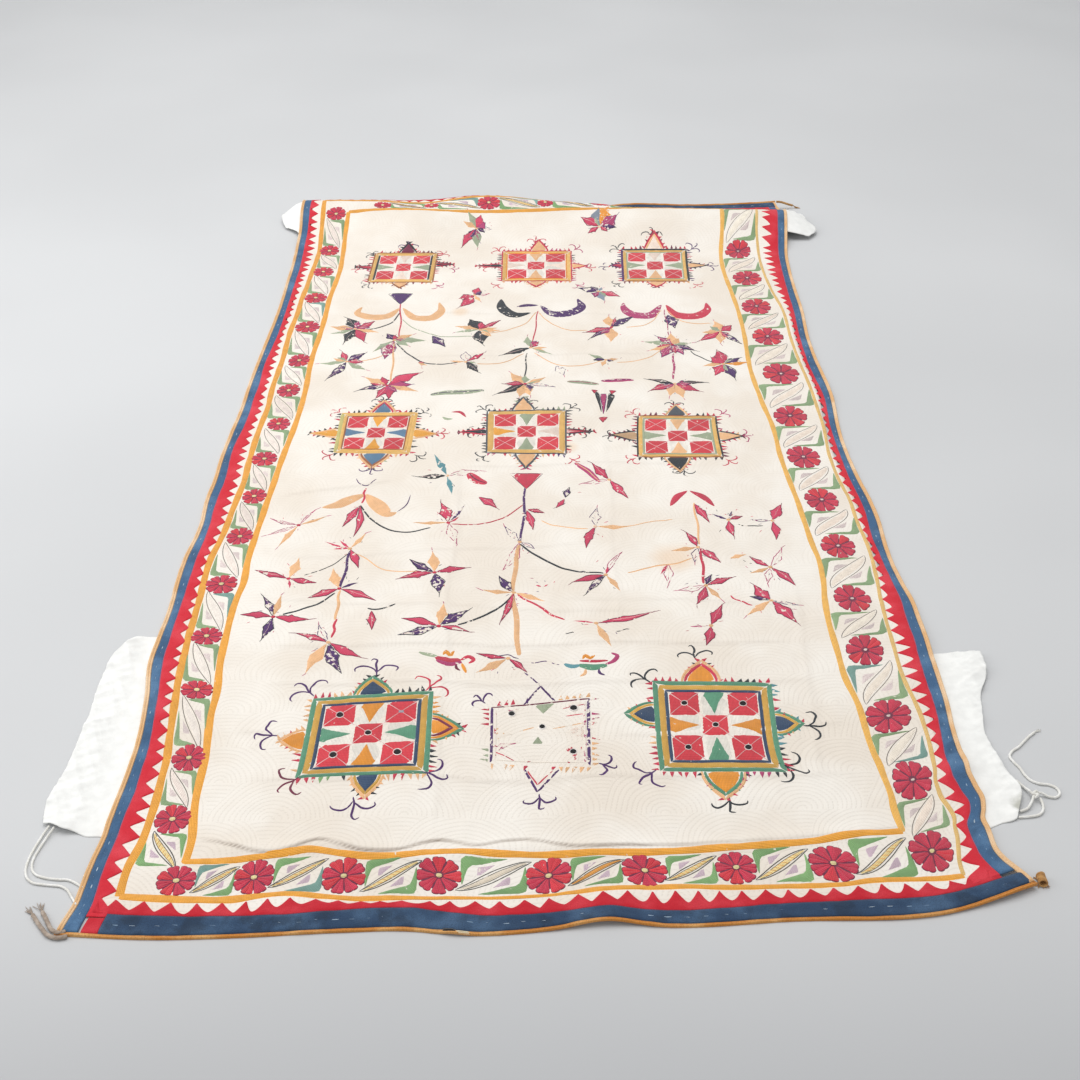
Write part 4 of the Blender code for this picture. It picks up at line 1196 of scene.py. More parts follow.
def add_leaf_cell(work, cell, leaf_up, fill, wide, bent, green_wide, doubled):
    """A slanted leaf with a dark outline from corner to corner, and a green corner with a
    small lilac triangle on each side of it."""
    def place(s, t):
        return square_place(cell, s, t if leaf_up else 1 - np.asarray(t, float))

    a = np.linspace(0.0, 1.0, 15)
    sway = bent * np.sin(2 * np.pi * a)
    s = -0.10 + 1.20 * a
    middle = np.stack([s, 0.02 + 0.96 * soft_step(-0.15, 1.15, a) + sway], -1)
    swell = np.sin(np.pi * a) ** 0.8
    sides = []
    for sign in (-1, 1):
        sides.append(place(middle[:, 0] - sign * 0.5 * wide * swell,
                           middle[:, 1] + sign * 0.9 * wide * swell))
        outline = (0.0018, "grey", 0.0008) if doubled else (0.0015, "#7A6E66", 0.0007)
        add_stroke(work, sides[-1], *outline)
    margin = 0.24 if doubled else 0.14
    inset = [sides[k] * (1 - margin) + sides[1 - k] * margin for k in (0, 1)]
    add_band(work, inset[0][1:-1], inset[1][1:-1], fill, height=0.0008, wear=0.12)
    for side in inset if doubled else ():
        add_stroke(work, side[1:-1], 0.0010, "grey", 0.0005, 2, 0.25, base=0.0004)
    if fill == LEAF_YELLOW:
        for k in range(3, len(inset[0]) - 3):
            hatch = np.linspace(inset[0][k], inset[1][k - 1], 4)
            add_stroke(work, hatch, 0.0013, "orange", 0.0006, 2, 0.30, base=0.0008)

    for turned in (False, True):
        def corner(s, t):
            s, t = np.asarray(s, float), np.asarray(t, float)
            return place(1 - s, 1 - t) if turned else place(s, t)

        wander = chance.uniform(-0.05, 0.05, 3)
        tip, foot = 0.74 + wander[0], 0.24 + wander[1]
        outer = [(tip, 1.04), (0.34, 1.04), (0.0, 1.03), (-0.03, 0.70), (0.0, foot)]
        inner = [(tip, 1.02), (0.45, 1 - 0.08 * green_wide), (0.25, 1 - 0.15 * green_wide)]
        inner += [(0.13, 1 - 0.19 * green_wide), (0.08, 0.62), (0.02, foot + 0.01)]
        outer, inner = smooth_line(outer, 0.08), smooth_line(inner, 0.08)
        edges = []
        for line in (outer, inner):
            edge = smooth_line(corner(*line.T), 0.001)
            edges.append(edge[np.linspace(0, len(edge) - 1, CORNER_POINTS).astype(int)])
        green = "leafgreen" if doubled else "#93B080"
        green = "#7FA79C" if chance.random() < 0.10 else green
        add_band(work, *edges, green, height=0.0010, wear=0.14)
        small = corner([0.24, 0.52, 0.24], [0.78, 0.84, 0.44])
        side_a = np.linspace(small[0], small[1], 6)
        side_b = np.linspace(small[2], small[1], 6)
        add_band(work, side_a, side_b, "lilac" if doubled else "#EBDAD6", 0.0006, 4, wear=0.25)


leaf_work = start_work()
LEAF_YELLOW = "#F6DC9A"
LEAF_ODD = {3: "#F8E9D2", 4: "#F3A94E"}  # two of the near leaves
LEAF_FILLS = {"near": LEAF_YELLOW, "left": "#FFEFE4", "right": "#FFEDDC", "far": LEAF_YELLOW}
for side, rows in ROSETTES.items():
    for k in range(len(rows) - 1):
        cell = border_cell(side, rows[k], rows[k + 1])
        leaf_up = side in ("near", "left")  # the left row is listed from the far end down
        fill = LEAF_FILLS[side]
        if side == "left" and k == len(rows) - 2:
            fill = LEAF_FILLS["near"]
        doubled = side in ("near", "far") or fill == LEAF_FILLS["near"]
        wide = chance.uniform(0.10, 0.14) if doubled else chance.uniform(0.13, 0.17)
        green_wide = {"near": 1.25, "far": 1.0, "left": 0.85, "right": 0.70}[side]
        if side == "near" and k in LEAF_ODD:
            fill = LEAF_ODD[k]
        bent = chance.uniform(-0.03, 0.03)
        add_leaf_cell(leaf_work, cell, leaf_up, fill, wide, bent, green_wide, doubled)
sew("border_leaves", leaf_work)

# ------------------------------------------------------------------ the nine square medallions
# Three rows of three squares in close chain stitch: a striped frame, a chequer of nine cells
# with round mirrors, a pointed lobe on each side, small fringe triangles and curled sprigs.

MIRROR_RADIUS = 0.0054
FRINGE_STEP = 0.0115
LOBE_RING = 0.0052
# Each square: its name, its corners from the top left round to the bottom left in mm, how
# round the lobes are, how worn the thread is, and which of its nine cells hold mirrors. Then
# the bands of its frame from the outside in, each with one thread or with one for the top,
# right, bottom and left, and its width in mm. Then the top, right, bottom and left side: the
# lobe's threads from the outside in, its middle in thousandths of the side, half its width and
# its reach in mm, the thread of the triangle and the threads of the fringe.
MEDALLIONS = """
near_left | -388 -828, -186 -814, -187 -1005, -398 -1008 | 1.7 0.10 | 0 4 6 8
green 8.5, ochre 10.5, navy 5.8
green ochre navy | 500 34 48 | orange | crimson peach peach crimson night night night
green orange wine orange | 450 33 56 | green | peach orange peach crimson crimson night crimson
peach ochre navy | 460 28 52 | orange | peach crimson peach night night leafgreen crimson
peach orange | 460 27 45 | green | peach crimson peach crimson peach peach peach

near_right | 180 -794, 378 -806, 375 -1014, 179 -1003 | 2.1 0.08 | 0 2 4 6 8
green 8.5, ochre 10.5, navy 5.5
peach crimson orange | 410 34 58 | green | crimson crimson peach crimson crimson night crimson
green ochre navy | 470 29 48 | orange | teal crimson crimson peach teal night crimson
peach green orange | 510 36 62 | green | night magenta magenta green green crimson crimson
green ochre navy | 620 30 52 | orange | crimson crimson peach crimson peach crimson crimson

middle_left | -437 83, -268 86, -274 -83, -435 -80 | 1.4 0.12 |
honey honey honey lime 8.5, honey 6.5, rust 2.8
peach crimson mist | 540 30 58 | yellow | crimson night night crimson night crimson night
peach yellow | 520 22 54 | mist | night crimson night crimson night night crimson
peach rust mist | 460 36 62 | yellow | crimson peach palegreen night crimson crimson night
peach yellow | 480 20 62 | mist | night crimson night wine night crimson night

middle_middle | -118 90, 60 92, 56 -86, -115 -81 | 1.4 0.16 |
slate 3.4, honey 13.5
slate peach | 460 27 60 | palegreen | night crimson wine peach palegreen night palegreen
night crimson peach | 500 12 66 | blush | night wine crimson night crimson night crimson
slate peach | 500 26 60 | palegreen | purple crimson peach wine peach crimson magenta
crimson night | 500 14 64 | yellow | night night crimson crimson night crimson wine

middle_right | 216 66, 392 66, 390 -100, 205 -100 | 1.4 0.14 |
rust night rust night 3.4, honey 9, palegreen 4
peach slate | 500 27 50 | peach | crimson wine palegreen crimson crimson night crimson
night peach | 500 22 58 | palegreen | crimson wine magenta crimson peach crimson wine
peach night | 540 30 58 | peach | night slate crimson peach crimson slate night
night tan | 500 22 62 | palegreen | crimson night wine crimson wine crimson wine

far_left | -444 900, -271 900, -278 722, -454 724 | 1.4 0.16 |
rust 3.6, honey 9, honey night honey night 5
night wine | 520 26 46 | blush | crimson night crimson night crimson wine night
night crimson night | 400 16 52 | palegreen | crimson night crimson wine crimson night crimson
rust peach | 500 24 36 | blush | peach crimson wine crimson peach crimson wine
night crimson | 500 14 46 | palegreen | crimson night magenta crimson wine crimson night

far_middle | -97 908, 90 908, 89 726, -98 726 | 1.4 0.20 |
crimson 3, honey 10, orange 3
crimson peach | 540 26 52 | peach | crimson magenta crimson wine crimson magenta crimson
crimson peach | 500 18 44 | blush | crimson night magenta crimson wine crimson magenta
crimson peach | 500 26 36 | peach | peach crimson peach crimson peach crimson peach
crimson night | 500 14 74 | blush | crimson night crimson wine crimson night crimson

far_right | 220 914, 395 914, 393 722, 218 724 | 1.4 0.14 |
night night rust purple 5.6, honey 8, palegreen 3.4
crimson peach blush | 500 28 60 | blush | crimson crimson wine magenta crimson wine crimson
night peach | 500 18 56 | palegreen | purple crimson night purple crimson night purple
crimson peach | 500 26 36 | peach | peach crimson wine peach crimson peach wine
purple crimson | 500 16 34 | palegreen | crimson purple wine crimson night purple crimson
"""
# thread, then root u, v in mm, direction in degrees and size in mm of each tendril
SPRIGS = {
    "purple": places(
        "-284 -771 92 36, -389 -818 128 36, -441 -913 172 33, -194 -1002 -22 36, -301 -1056 -86 36,"
        "169 -1002 218 34, -11 -1049 -88 26, 86 -990 -20 24, -100 -838 130 22, -350 -134 -90 24,"
        "-354 918 90 28, 404 910 45 24, 184 812 180 22, 444 812 0 26"
    ),
    "crimson": places(
        "-196 -811 50 35, -438 82 140 22, -218 -2 0 22, -436 -84 220 24, 62 -102 -45 22, 212 70 140 24,"
        "394 -108 -45 24, 200 -104 215 22, -264 886 45 24, -476 800 178 22, -102 904 130 24,"
        "-3 944 90 26, -132 806 180 24, 126 806 0 24, -102 708 222 22, 401 708 -45 24"
    ),
    "wine": places("-395 -1007 214 34"),
    "night": places(
        "256 -739 95 31, 173 -794 135 31, 425 -910 4 33, 370 -996 -30 38, 277 -1066 -88 28,"
        "-352 126 90 24, -262 80 45 24, -262 -88 -40 24, -118 92 130 24, -28 120 90 24, 66 94 48 24,"
        "86 -2 0 24, -116 -90 220 22, -140 2 178 24, 300 106 90 22, 298 -146 -90 24, 160 -16 180 22,"
        "-444 886 140 24, -446 714 220 24, 215 910 130 24, 302 950 90 28, 212 714 220 22"
    ),
    "magenta": places(
        "401 70 45 22, 440 -16 0 24, -236 800 0 22, -270 708 -45 22, 96 910 45 24, 98 708 -42 22"
    ),
}


def add_polygon(work, corners, thread, height=0.0009, wear=0.0, base=0.0, rows=7):
    """A filled triangle or four-sided patch, worked between two of its sides."""
    corners = np.array(corners, float)
    share = np.linspace(0.0, 1.0, rows)[:, None]
    side_a = corners[0] * (1 - share) + corners[-1] * share
    side_b = corners[1] * (1 - share) + corners[2] * share
    add_band(work, side_a, side_b, thread, height, 5, wear, base)


def frame_side(corners, side, low, high, size):
    """The two edges of one side of a frame band, between two insets given in metres."""
    a = np.linspace(0.0, 1.0, 15)
    edges = []
    for inset in (low, high):
        share = inset / size
        run = share + (1 - 2 * share) * a
        fixed = np.full_like(run, share)
        pairs = {
            "top": (run, fixed),
            "right": (1 - fixed, run),
            "bottom": (1 - run, 1 - fixed),
            "left": (fixed, 1 - run),
        }
        edges.append(square_place(corners, *pairs[side]))
    return edges


def along_and_out(first, last):
    """Unit vectors along one side and out from it."""
    along = (last - first) / np.hypot(*(last - first))
    return along, np.array([-along[1], along[0]])


def add_lobe(work, first, last, threads, middle, half, reach, worn, roundness):
    """A pointed lobe on the middle of one side, of nested outlines round a filled heart."""
    along, out = along_and_out(first, last)
    root = first + (last - first) * middle
    t = np.linspace(0.0, 1.0, 10)
    for ring, thread in enumerate(threads):
        inset = ring * LOBE_RING
        own_half, own_reach = half - inset, reach - inset * 1.7
        if own_half < 0.004:
            break
        bulge = own_half * (1 - t**roundness)
        line = root + out * (t * own_reach)[:, None]
        one, two = line + along * bulge[:, None], line - along * bulge[:, None]
        if ring == len(threads) - 1:
            add_band(work, one, two, thread, PATCH_HIGH, 5, worn, 0.0002 * ring)
        else:
            for sign in (1, -1):
                inner = np.maximum(bulge - LOBE_RING, 0.0)
                outer_side = line + sign * along * bulge[:, None]
                inner_line = root + out * (t * (own_reach - LOBE_RING * 1.5))[:, None]
                inner_side = inner_line + sign * along * inner[:, None]
                pair = (outer_side, inner_side) if sign > 0 else (inner_side, outer_side)
                add_band(work, *pair, thread, 0.0010, 3, worn)


def add_fringe(work, first, last, threads, out, worn, skip):
    """Small pointed triangles in a row along one side, some of them worn away."""
    along = along_and_out(first, last)[0]
    count = max(4, round(np.hypot(*(last - first)) / FRINGE_STEP))
    for k in range(count):
        share = (k + 0.5) / count
        if skip[0] < share < skip[1] or chance.random() < 0.10:
            continue
        thread = threads[int(share * len(threads)) % len(threads)]
        place = first + (last - first) * share
        half = chance.uniform(0.0034, 0.0052)
        reach = chance.uniform(0.009, 0.015)
        lean = chance.uniform(-0.003, 0.004)
        tip = place + out * reach + along * lean
        ends = [place - along * half, place + along * half, tip]
        add_polygon(work, ends, thread, ROW_HIGH, worn + chance.uniform(0.0, 0.25), rows=5)


def add_sprig(work, root, direction, size, thread, wear, thick):
    """Three prongs that curl outwards at their tips, like a tendril."""
    turn = math.radians(direction)
    stem = [(-0.15, 0.0), (0.30, 0.02), (0.70, -0.03), (0.98, 0.02), (1.08, 0.18), (0.98, 0.30)]
    left = [(0.12, 0.0), (0.36, 0.16), (0.55, 0.42), (0.56, 0.72), (0.38, 0.96), (0.18, 0.94)]
    right = [(along, -across) for along, across in left]
    for prong in (stem, left, right):
        wander = chance.uniform(-0.06, 0.06, (len(prong), 2))
        wander[0] = 0
        points = turn_by((np.array(prong) + wander) * size, turn) + np.array(root)
        line = smooth_line(points, 0.0035)
        t = np.linspace(0.0, 1.0, len(line))
        wide = thick * (0.62 + 0.60 * np.sin(np.pi * t**1.3)) * (1 - 0.25 * t)
        add_stroke(work, line, wide, thread, ROW_HIGH, 2, wear)


mirror_places = []


def add_medallion(work, corners, roundness, worn, mirrors, frame, sides):
    corners = np.array(corners)
    size = np.hypot(*(corners[1] - corners[0]))
    inset = 0.0
    for *threads, wide in frame:
        wide = float(wide) / 1000
        for side, thread in zip(("top", "right", "bottom", "left"), threads * 4):
            edges = frame_side(corners, side, inset - 0.0004, inset + wide + 0.0005, size)
            add_band(work, *edges, thread, PATCH_HIGH, 4, worn)
        inset += wide
    for number, (threads, place, _, fringe) in enumerate(sides):
        middle, half, reach = places(place)[0]
        first, last = corners[number], corners[(number + 1) % 4]
        add_lobe(work, first, last, threads.split(), middle, half, reach, worn, roundness)
        along, out = along_and_out(first, last)
        share = half / np.hypot(*(last - first))
        skip = (middle - share, middle + share)
        add_fringe(work, first, last, fringe.split(), out, worn, skip)
        for sign in (-1, 1):
            foot = first + (last - first) * (middle + sign * share)
            tip = first + (last - first) * middle + out * reach
            away = along_and_out(foot, tip)[1]
            away = away if np.dot(away, along * sign) > 0 else -away
            add_fringe(work, foot, tip, fringe.split(), away * 0.8, worn + 0.05, (2, 3))

    low, high = inset / size, 1 - inset / size
    cut = np.linspace(low, high, 4) + np.array([0, 0.010, -0.010, 0])
    cut = cut + np.array([0, *chance.uniform(-0.006, 0.006, 2), 0])
    for row in range(3):
        for column in range(3):
            s0, s1 = cut[column] - 0.001, cut[column + 1] + 0.001
            t0, t1 = cut[row] - 0.001, cut[row + 1] + 0.001
            square = square_place(corners, [s0, s1, s1, s0], [t0, t0, t1, t1])
            if (row + column) % 2 == 0:
                add_polygon(work, square, "red", PATCH_HIGH, worn * 0.8 + 0.04, rows=8)
                for a, b in ((0, 2), (1, 3)):
                    line = np.linspace(square[a], square[b], 8)
                    add_stroke(work, line, 0.0019, "pink", ROW_HIGH, 2, worn * 0.6, base=0.0009)
                middle = square.mean(0)
                if row * 3 + column in mirrors:
                    mirror_places.append(middle)
                elif mirrors:
                    add_disc(work, middle, MIRROR_RADIUS, "greyblue", 0.0016)
            else:
                add_polygon(work, square, "cream", 0.0005, 0.05, rows=4)
                side = {(0, 1): 0, (1, 2): 1, (2, 1): 2, (1, 0): 3}[(row, column)]
                foot = square[[side, (side + 1) % 4]]
                foot = foot + (foot[::-1] - foot) * 0.03
                tip = square.mean(0) + (square.mean(0) - foot.mean(0)) * 0.90
                triangle = sides[side][2].strip()
                add_polygon(work, [*foot, tip], triangle, PATCH_HIGH, worn, base=0.0004)


for block in MEDALLIONS.strip().split("\n\n"):
    head, frame, *sides = block.split("\n")
    name, corners, shares, mirrors = head.split("|")
    roundness, worn = (float(share) for share in shares.split())
    mirrors = [int(cell) for cell in mirrors.split()]
    medallion_work = start_work()
    frame = [band.split() for band in frame.split(",")]
    sides = [side.split("|") for side in sides]
    add_medallion(medallion_work, places(corners), roundness, worn, mirrors, frame, sides)
    sew(f"medallion_{name.strip()}", medallion_work)

sprig_work = start_work()
for thread, rows in SPRIGS.items():
    for u, v, direction, size in rows:
        faint = v > -0.4  # the sprigs of the middle and far rows are thin and half gone
        wear, thick = (0.34, 0.0030) if faint else (0.12, 0.0040)
        add_sprig(sprig_work, (u, v), direction * 1000, size, thread, wear, thick)
sew("medallion_sprigs", sprig_work)

# ------------------------------------------------------------------ the worn near middle square
# Most of its thread has gone. Broken dark sides, stubs of fringe, a few small patches and
# loose rows of stitches are left, with four mirrors still held.

def read_lines(text):
    """One line of stitches to a row: thread and width in mm, then the places along it in mm."""
    rows = []
    for row in text.split(";"):
        head, route = row.split("|")
        thread, wide = head.split()
        rows.append((thread, float(wide), places(route)))
    return rows


WORN_SQUARE = places("-92 -848, 78 -834, 74 -997, -92 -976")
# patches and rows are placed by their share of the square, in thousandths: across, then down
worn_work = start_work()
chance = np.random.default_rng(31)
for side, thread, wear, wide in (
    ("left", "purple", 0.34, 0.0052),
    ("left", "crimson", 0.72, 0.0046),
    ("right", "purple", 0.46, 0.0062),
    ("right", "magenta", 0.74, 0.0050),
    ("top", "wine", 0.36, 0.0040),
    ("bottom", "crimson", 0.84, 0.0036),
):
    low = 0.002 if thread in ("purple", "wine") else 0.0085
    edges = frame_side(WORN_SQUARE, side, low, low + wide, 0.17)
    add_band(worn_work, *edges, thread, 0.0010, 4, wear)
WORN_FRINGE = (
    "crimson purple peach", "magenta crimson peach", "peach crimson peach",
    "palegreen peach crimson",
)
for number, threads in enumerate(WORN_FRINGE):
    first = np.array(WORN_SQUARE[number])
    last = np.array(WORN_SQUARE[(number + 1) % 4])
    out = along_and_out(first, last)[1]
    add_fringe(worn_work, first, last, threads.split(), out, 0.30, (0.40, 0.60))
# what is left of its filled patches: thread and wear, then the corners
WORN_PATCHES = read_lines("""
palegreen 0.22 | 430 40, 650 40, 530 190;
palegreen 0.30 | 420 660, 540 660, 480 550;
peach 0.78 | 50 360, 50 620, 240 500;
blush 0.55 | 950 360, 950 620, 740 500;
magenta 0.70 | 160 80, 300 80, 230 220;
crimson 0.78 | 740 60, 920 60, 840 220;
crimson 0.74 | 720 720, 920 680, 860 960;
magenta 0.78 | 60 660, 300 620, 100 780
""")
for thread, wear, patch in WORN_PATCHES:
    s, t = np.array(patch).T
    add_polygon(worn_work, square_place(WORN_SQUARE, s, t), thread, ROW_HIGH, wear)
# loose rows of stitches: thread and width in mm, then the places along them
WORN_ROWS = read_lines("""
purple 4 | 340 20, 500 -270, 650 20;
purple 3 | 340 -550, 420 -420, 500 -270;
purple 4.2 | 350 1060, 480 1380, 680 1040;
crimson 2.6 | 380 1080, 480 1280, 620 1060;
magenta 2.4 | 40 720, 180 680, 300 640;
crimson 2.2 | 60 800, 160 860, 260 940;
crimson 2.2 | 720 140, 940 100;
crimson 2.2 | 740 260, 920 240;
peach 2.2 | 620 440, 920 380;
peach 2.2 | 300 460, 440 400
""")
for thread, wide, line in WORN_ROWS:
    s, t = np.array(line).T
    points = square_place(WORN_SQUARE, s, t)
    for k in range(len(points) - 1):
        piece = np.linspace(points[k], points[k + 1], 9)
        add_stroke(worn_work, piece, wide / 1000, thread, ROW_HIGH, 2, 0.42)
sew("medallion_near_middle", worn_work)
mirror_places += [square_place(WORN_SQUARE, s, t) for s, t in
                  ((0.22, 0.16), (0.825, 0.15), (0.52, 0.40), (0.82, 0.79))]

# ------------------------------------------------------------------ the mirrors
# Small rounds of thin glass, silvered dark behind, about 11 mm wide. Each is held down by a
# ring of pale buttonhole stitch worked round its rim.

MIRROR_SIDES = 14
glass_points, glass_faces = [], []
ring_work = start_work()
for place in mirror_places:
    count = MIRROR_SIDES
    turns = np.linspace(0, 2 * math.pi, count, endpoint=False)
    start = len(glass_points) * (2 * count + 1)
    radius = MIRROR_RADIUS * chance.uniform(0.85, 1.15)
    rounds = [np.stack([np.cos(turns), np.sin(turns)], -1) * r * radius for r in (1.0, 0.86)]
    flat = np.concatenate([rounds[0], rounds[1], [[0.0, 0.0]]]) + np.array(place)
    lift = np.concatenate([np.full(count, 0.0008), np.full(count, 0.0023), [0.0023]])
    glass_points.append(on_cloth(flat[:, 0], flat[:, 1], GROUND_THICK + lift))
    for k in range(count):
        after = (k + 1) % count
        glass_faces.append([start + k, start + after, start + count + after, start + count + k])
        glass_faces.append([start + count + k, start + count + after, start + 2 * count])
    loop = np.concatenate([turns, turns[:2]])
    line = np.stack([np.cos(loop), np.sin(loop)], -1) * radius * 1.16 + np.array(place)
    add_stroke(ring_work, line, 0.0017, "white", 0.0012, 2, 0.05, base=0.0012)
mirrors = mesh_object("round_mirrors", np.concatenate(glass_points), glass_faces, smooth=False)
silvered_glass = bpy.data.materials.new("dark_silvered_glass")
silvered_glass.use_nodes = True
glass_shader = silvered_glass.node_tree.nodes["Principled BSDF"]
glass_place = add_node(silvered_glass, "ShaderNodeTexCoord").outputs["Object"]
tarnish = noise(silvered_glass, glass_place, 260.0, 3.0)
link(
    silvered_glass,
    blend_colors(silvered_glass, tarnish, "#040406", "#1C1C22", 0.52, 0.78),
    glass_shader,
    "Base Color",
)
glass_shader.inputs["Roughness"].default_value = 0.42
glass_shader.inputs["Specular IOR Level"].default_value = 0.25
mirrors.data.materials.append(silvered_glass)
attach(mirrors, "root")
sew("mirror_rings", ring_work)

# ------------------------------------------------------------------ the flowering stems
# Six tall stems with side shoots rise between the squares, each ending in flowers of four to
# eight pointed petals. They are chain stitch in two strands, and much of it is worn thin.

def read_flowers(text):
    """One flower to a line: its heart's u and v in mm, then the thread, direction in degrees,
    length and width in mm of each petal."""
    flowers = []
    for row in text.split(";"):
        heart, *petals = row.split("|")
        petals = [petal.split() for petal in petals]
        sizes = [(thread, *map(float, numbers)) for thread, *numbers in petals]
        flowers.append((*places(heart)[0], sizes))
    return flowers


FLOWERS = read_flowers("""
-192 -164 | teal 111 83 25 | teal -79 68 20 | night -176 57 17 | open 14 68 20;
-127 -239 | crimson -46 54 27;
-358 -269 | crimson -110 76 23 | crimson -91 103 21;
-181 -329 | peach 179 67 11 | crimson 105 69 34 | purple 64 67 11 | open -74 71 28 | crimson 44 25 8;
-470 -336 | peach 30 57 11 | peach -112 73 19 | open 63 55 7 | open 158 63 9 | open -151 64 10;
-362 -412 | crimson -177 29 7 | crimson 130 32 9 | peach 63 53 16 | crimson -69 62 22 | crimson 156 54 6;
-198 -487 | peach 97 64 35 | purple 140 62 22 | crimson 13 59 18 | crimson -164 65 19 | purple -79 62 37;
-463 -502 | peach 81 61 31 | crimson 159 68 16 | crimson -14 52 16 | crimson -78 28 8;
-367 -533 | peach 107 61 31 | crimson -153 57 20 | crimson -28 77 19 | purple 26 34 10;
-474 -614 | peach 85 62 22 | purple 114 65 20 | crimson 174 57 17 | crimson -7 63 19 | purple -102 60 27;
-371 -686 | open 113 51 20 | crimson 156 63 16 | crimson -35 72 22 | peach -113 84 34 | purple -71 84 34;
-303 -598 | crimson -85 54 22;
-182 -646 | peach 85 63 31 | crimson 162 68 19 | purple -162 72 19 | purple 42 67 27 | crimson -15 54 13;
-30 -285 | crimson -19 36 14 | crimson -79 68 24;
-42 -393 | open 120 57 20 | open -110 93 28 | open -38 34 14;
-52 -547 | purple 119 55 25 | peach 172 56 13 | peach -27 60 18 | crimson -100 50 17 | crimson -105 88 18;
-61 -729 | crimson 166 54 11 | peach -147 63 23 | crimson -49 47 14;
140 -182 | crimson 118 67 28 | crimson -62 73 26 | open -167 55 17;
48 -248 | purple 76 38 19 | crimson -121 36 14;
105 -343 | open 85 61 30 | crimson -106 72 25 | peach 0 68 14;
117 -497 | crimson -160 64 19 | purple -124 67 17 | peach -65 53 18 | crimson 76 23 9 | open 63 76 15;
303 -265 | crimson -69 70 24;
367 -323 | purple 147 33 10 | crimson 21 29 12 | crimson -86 54 24 | purple 70 30 9;
453 -327 | crimson 65 59 33 | crimson -92 61 24 | open 175 40 7;
297 -416 | crimson 110 52 23 | peach -168 51 17 | crimson -52 59 24 | open -103 46 23;
350 -453 | peach 20 36 14;
236 -466 | open -96 61 24 | crimson -120 34 9;
425 -479 | crimson 135 46 16 | crimson -58 65 27 | peach -156 43 14 | open 63 68 20 | open -106 50 20;
297 -534 | open -167 52 18 | crimson 25 57 17 | purple 65 35 14 | crimson -113 59 26 | peach -64 47 19;
407 -581 | crimson 115 51 36 | purple 160 36 13 | peach -139 66 21 | crimson -63 71 35 | open -17 47 9;
290 -652 | crimson 65 63 26 | crimson -104 53 26 | open -177 33 4;
92 -641 | crimson 169 38 5 | crimson 17 107 15 | peach -70 66 24;
0 -533 | crimson 151 12 5 | crimson 41 11 4;
-170 1005 | crimson 79 55 33 | crimson -115 86 26 | palegreen 111 74 22 | open -1 44 13 | palegreen -86 81
33;
-458 472 | night 117 62 31 | crimson 42 58 20 | peach 169 64 22 | palegreen -158 61 15 | night -104 71 28
| crimson -65 71 28 | peach -18 62 15;
-146 466 | night 118 60 36 | crimson 44 68 14 | peach 165 64 19 | palegreen -166 61 13 | night -83 72 40 |
peach -5 48 15;
-264 435 | purple -56 65 29;
-167 649 | crimson 77 42 25 | crimson -120 72 32 | open 11 38 8 | peach -63 35 14;
-354 412 | purple 124 37 20 | peach 32 49 22 | palegreen -3 76 24 | palegreen -130 70 21 | magenta -98 89
40;
-174 309 | open 93 46 27 | crimson 44 59 12 | night -57 56 22 | peach 173 35 9 | palegreen -15 24 7;
-288 307 | peach -30 25 10;
-455 312 | purple 46 53 22 | palegreen -173 62 15 | purple -114 85 24 | crimson 111 50 17 | palegreen -37
63 19;
-348 202 | peach 146 65 23 | purple -161 64 14 | crimson 38 91 31 | peach -20 76 21 | crimson -110 58 23 |
crimson -81 59 24;
164 993 | crimson 140 61 27 | greyblue 90 80 40 | orange 73 98 44 | purple -9 43 15 | crimson -147 34 14;
180 476 | peach 94 58 35 | peach -94 73 37 | crimson -159 69 21 | purple -134 78 16 | purple 43 78 22;
155 668 | purple 159 53 21 | crimson -28 58 23 | greyblue 70 23 12 | greyblue -76 53 26;
-20 376 | night -152 74 19 | palegreen 98 56 22 | peach -30 38 13 | palegreen -35 62 11 | crimson 55 32 13;
159 313 | palegreen 147 47 14 | peach 10 27 11 | peach -110 29 15;
39 288 | open -68 46 23;
-33 206 | peach 123 60 30 | peach 30 53 17 | night -146 76 18 | open -13 69 8 | peach -102 59 30 | peach
-77 53 26;
324 388 | peach 90 53 32 | magenta 131 51 21 | magenta -116 68 34 | magenta -65 52 26 | palegreen 168 68
19 | peach -153 63 18 | purple -29 58 17 | palegreen 9 47 14;
322 539 | purple -78 70 35;
447 451 | crimson 46 41 25 | peach 102 53 27 | crimson -141 73 22 | purple -53 76 15 | peach -95 56 28;
438 295 | crimson 98 63 38 | purple 34 49 20 | peach -167 51 13 | crimson -118 59 29 | purple -77 67 30 |
orange 7 59 15;
311 203 | night 163 63 11 | crimson -152 67 20 | crimson -31 61 21 | night 5 69 11 | peach -108 57 29 |
peach -78 62 31
""")
